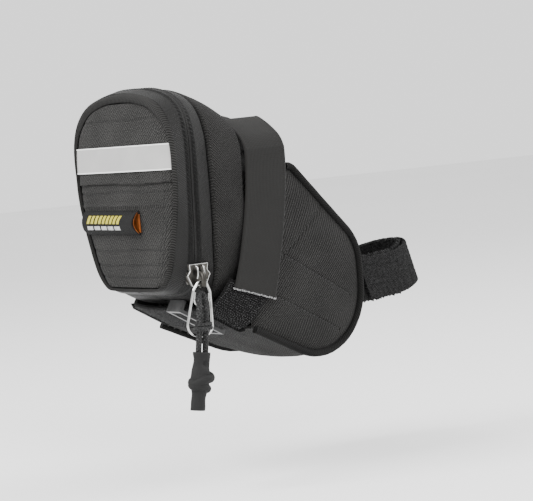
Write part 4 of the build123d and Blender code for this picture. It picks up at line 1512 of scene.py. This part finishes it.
def make_slider():
    """A waisted plate, a bridge with two prongs over it, and the plate inside."""
    middle = np.array([SEAM_X, EYE_Y + 1.0 + 2.2 * math.cos(TILT), SLIDER_Z])
    top = plate("slider_plate", PLATE_HALF, middle, 1.3)
    # Painted highlight: a thin bead of bright steel round the plate's top edge, standing in for the light
    # that the dark gunmetal edge catches.
    loop = both_sides([(x * 0.98, up * 0.98) for x, up in PLATE_HALF])
    path = [middle + 1.35 * slider_out + up * slider_up + np.array([x, 0, 0]) for x, up in loop]
    path = evenly(np.array(path), 120, closed=True)
    edge = tube("slider_rim_painted_highlight", path, 0.2, STEEL, sides=8, closed=True)
    prongs = []
    for side in (-1, 1):
        start = middle + np.array([side * 1.5, 0, 0]) + 1.2 * slider_out
        path = smooth(on_slider(start, [(3.6, 0.0), (3.2, 1.4), (0.6, 2.0), (-1.2, 1.3)]))
        prongs.append(tube(f"slider_prong_{'right' if side > 0 else 'left'}", path, 0.38, STEEL, sides=10))
    arch = [(1.6, 0.0), (1.2, 2.4), (-1.6, 3.5), (-4.0, 3.3), (-4.6, 1.6)]
    path = smooth(on_slider(middle + 1.2 * slider_out, arch), steps=14)
    rings = tube_points(path, 0.62, 12)
    centre = rings.mean(axis=1, keepdims=True)
    rings[:, :, 0] = SEAM_X + (rings[:, :, 0] - centre[:, :, 0]) * 2.0
    bridge = make_object("slider_bridge", rings.reshape(-1, 3), tube_faces(len(rings), 12, 0), [GUNMETAL])
    inner = plate(
        "slider_inner_plate", [(0, 4.2), (2.2, 4.2), (2.8, 3.0), (2.8, -3.0), (2.2, -4.2), (0, -4.2)],
        middle - 4.2 * slider_out, 1.2,
    )
    neck = plate(
        "slider_neck", [(0, 3.0), (0.25, 3.0), (0.25, -1.0), (0, -1.0)],
        middle - 3.2 * slider_out, 3.4, bevel=0.05,
    )
    for piece in [top, edge, bridge, inner, neck, *prongs]:
        attach(piece, "slider", "gunmetal")
    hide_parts("zip_slider")
    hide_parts("slider_crown")


WRAP_DROP = 18.3  # how far below the eye the cord is tied


def wrap_path(rise=0.0, reach=1.0):
    """One turn of cord round both strands, a little aslant."""
    turn = np.linspace(0, 2 * math.pi, 60, endpoint=False)
    z = EYE_Z - WRAP_DROP + rise + 0.45 * np.cos(turn)
    return hung(3.3 * reach * np.cos(turn), CORD_Y - 0.2 + 1.75 * np.sin(turn), z)


def make_wrap():
    lower = tube("cord_wrap_turn", wrap_path(), 1.0, CORD_MATERIAL, sides=14, closed=True)
    upper = tube("cord_wrap_second", wrap_path(1.6, 0.93), 0.75, CORD_MATERIAL, sides=14, closed=True)
    for piece in (lower, upper):
        attach(piece, "pull", "braided_cord")
    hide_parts("cord_wrap")
    return [lower, upper]


def make_grip():
    """Rubber sleeve with a notch, a knot-like bulge and a stub, a little askew."""
    profile = smooth(
        [(3.5, 0), (3.7, -0.6), (3.4, -2.8), (3.5, -5.6), (4.0, -8.4), (4.2, -11.2), (3.5, -14.9),
         (3.0, -17.6), (3.1, -22.4), (2.9, -GRIP_LENGTH)],
        steps=8,
    )
    sides = 48
    a = np.linspace(0, 2 * math.pi, sides, endpoint=False)
    rings = []
    for r, z in profile:
        shift = -0.9 * np.clip(-z / GRIP_LENGTH, 0, 1) ** 1.5
        radius = np.full(sides, r) * (1 + 0.03 * np.sin(3 * a + z))
        notch = np.exp(-((z + 4.6) / 1.3) ** 2) * np.exp(-(((a - 1.5 * math.pi) / 0.42) ** 2))
        radius = radius - 1.5 * notch
        across = shift + radius * np.cos(a)
        rings.append(hung(across, CORD_Y + radius * np.sin(a) * 0.85, GRIP_TOP + z))
    rings = np.array(rings)[::-1]
    sleeve = make_object("grip_sleeve", rings.reshape(-1, 3), tube_faces(len(rings), sides, 0), [RUBBER])
    lobes = []
    turn = np.linspace(0, 2 * math.pi, 48, endpoint=False)
    for name, height, shift, reach, tilt, thick in (
        ("upper", -11.0, 0.3, 3.6, 0.42, 2.0),
        ("lower", -13.7, -0.4, 3.1, -0.12, 1.8),
    ):
        z = GRIP_TOP + height + reach * tilt * np.cos(turn) + 0.3 * np.sin(3 * turn)
        path = hung(shift + reach * np.cos(turn), CORD_Y + reach * 0.75 * np.sin(turn), z)
        lobes.append(tube(f"grip_knot_{name}", path, thick, RUBBER, sides=18, closed=True))
    for piece in [sleeve, *lobes]:
        attach(piece, "pull", "rubber_grip")
    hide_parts("pull_grip")
    return [sleeve, *lobes]


def paint_nodes():
    """Better finishes for the CAD parts whose shapes are kept."""
    for node, material in (("pull_ring", STEEL), ("pull_bail", STEEL), ("belly_slide", PLASTIC)):
        mesh_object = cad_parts[node]
        mesh_object.data.materials.clear()
        mesh_object.data.materials.append(material)
        for polygon in mesh_object.data.polygons:
            polygon.use_smooth = node != "belly_slide"


make_slider()
wrap_pieces = make_wrap()
grip_pieces = make_grip()
paint_nodes()
tuple(hung(0.0, EYE_Y, BAIL_Z) * MM)

# ---- studio ---------------------------------------------------------------------------


FLOOR_Z = -0.075
LIGHTS_AIM = (-0.08, 0.0, 0.03)


def make_floor():
    bpy.ops.mesh.primitive_plane_add(size=6.0, location=(0, 0, FLOOR_Z))
    floor = bpy.context.object
    floor.name = "floor"
    p = Paint("floor_paper", 0.9, specular=0.1)
    fade = p.noise(p.here(), 1.2, 2.0)
    p.shade(fade, (0.3, 0.86), (0.7, 0.89))
    floor.data.materials.append(p.material)


def area_light(name, place, power):
    data = bpy.data.lights.new(name, "AREA")
    data.shape = "SQUARE"
    data.size = 0.5
    data.energy = power
    lamp = placed(name, data)
    lamp.location = place
    lamp.rotation_euler = (Vector(LIGHTS_AIM) - Vector(place)).to_track_quat("-Z", "Y").to_euler()


def make_studio():
    make_floor()
    area_light("key", (-0.75, 0.15, 0.75), 14.0)
    area_light("side", (-0.35, -0.95, 0.55), 9.0)
    area_light("rim", (0.75, -0.35, 0.6), 8.0)
    world = bpy.data.worlds.new("studio")
    world.use_nodes = True
    sky = world.node_tree.nodes["Background"]
    sky.inputs["Color"].default_value = (1.0, 1.0, 1.0, 1.0)
    sky.inputs["Strength"].default_value = 1.5
    bpy.context.scene.world = world


make_studio()
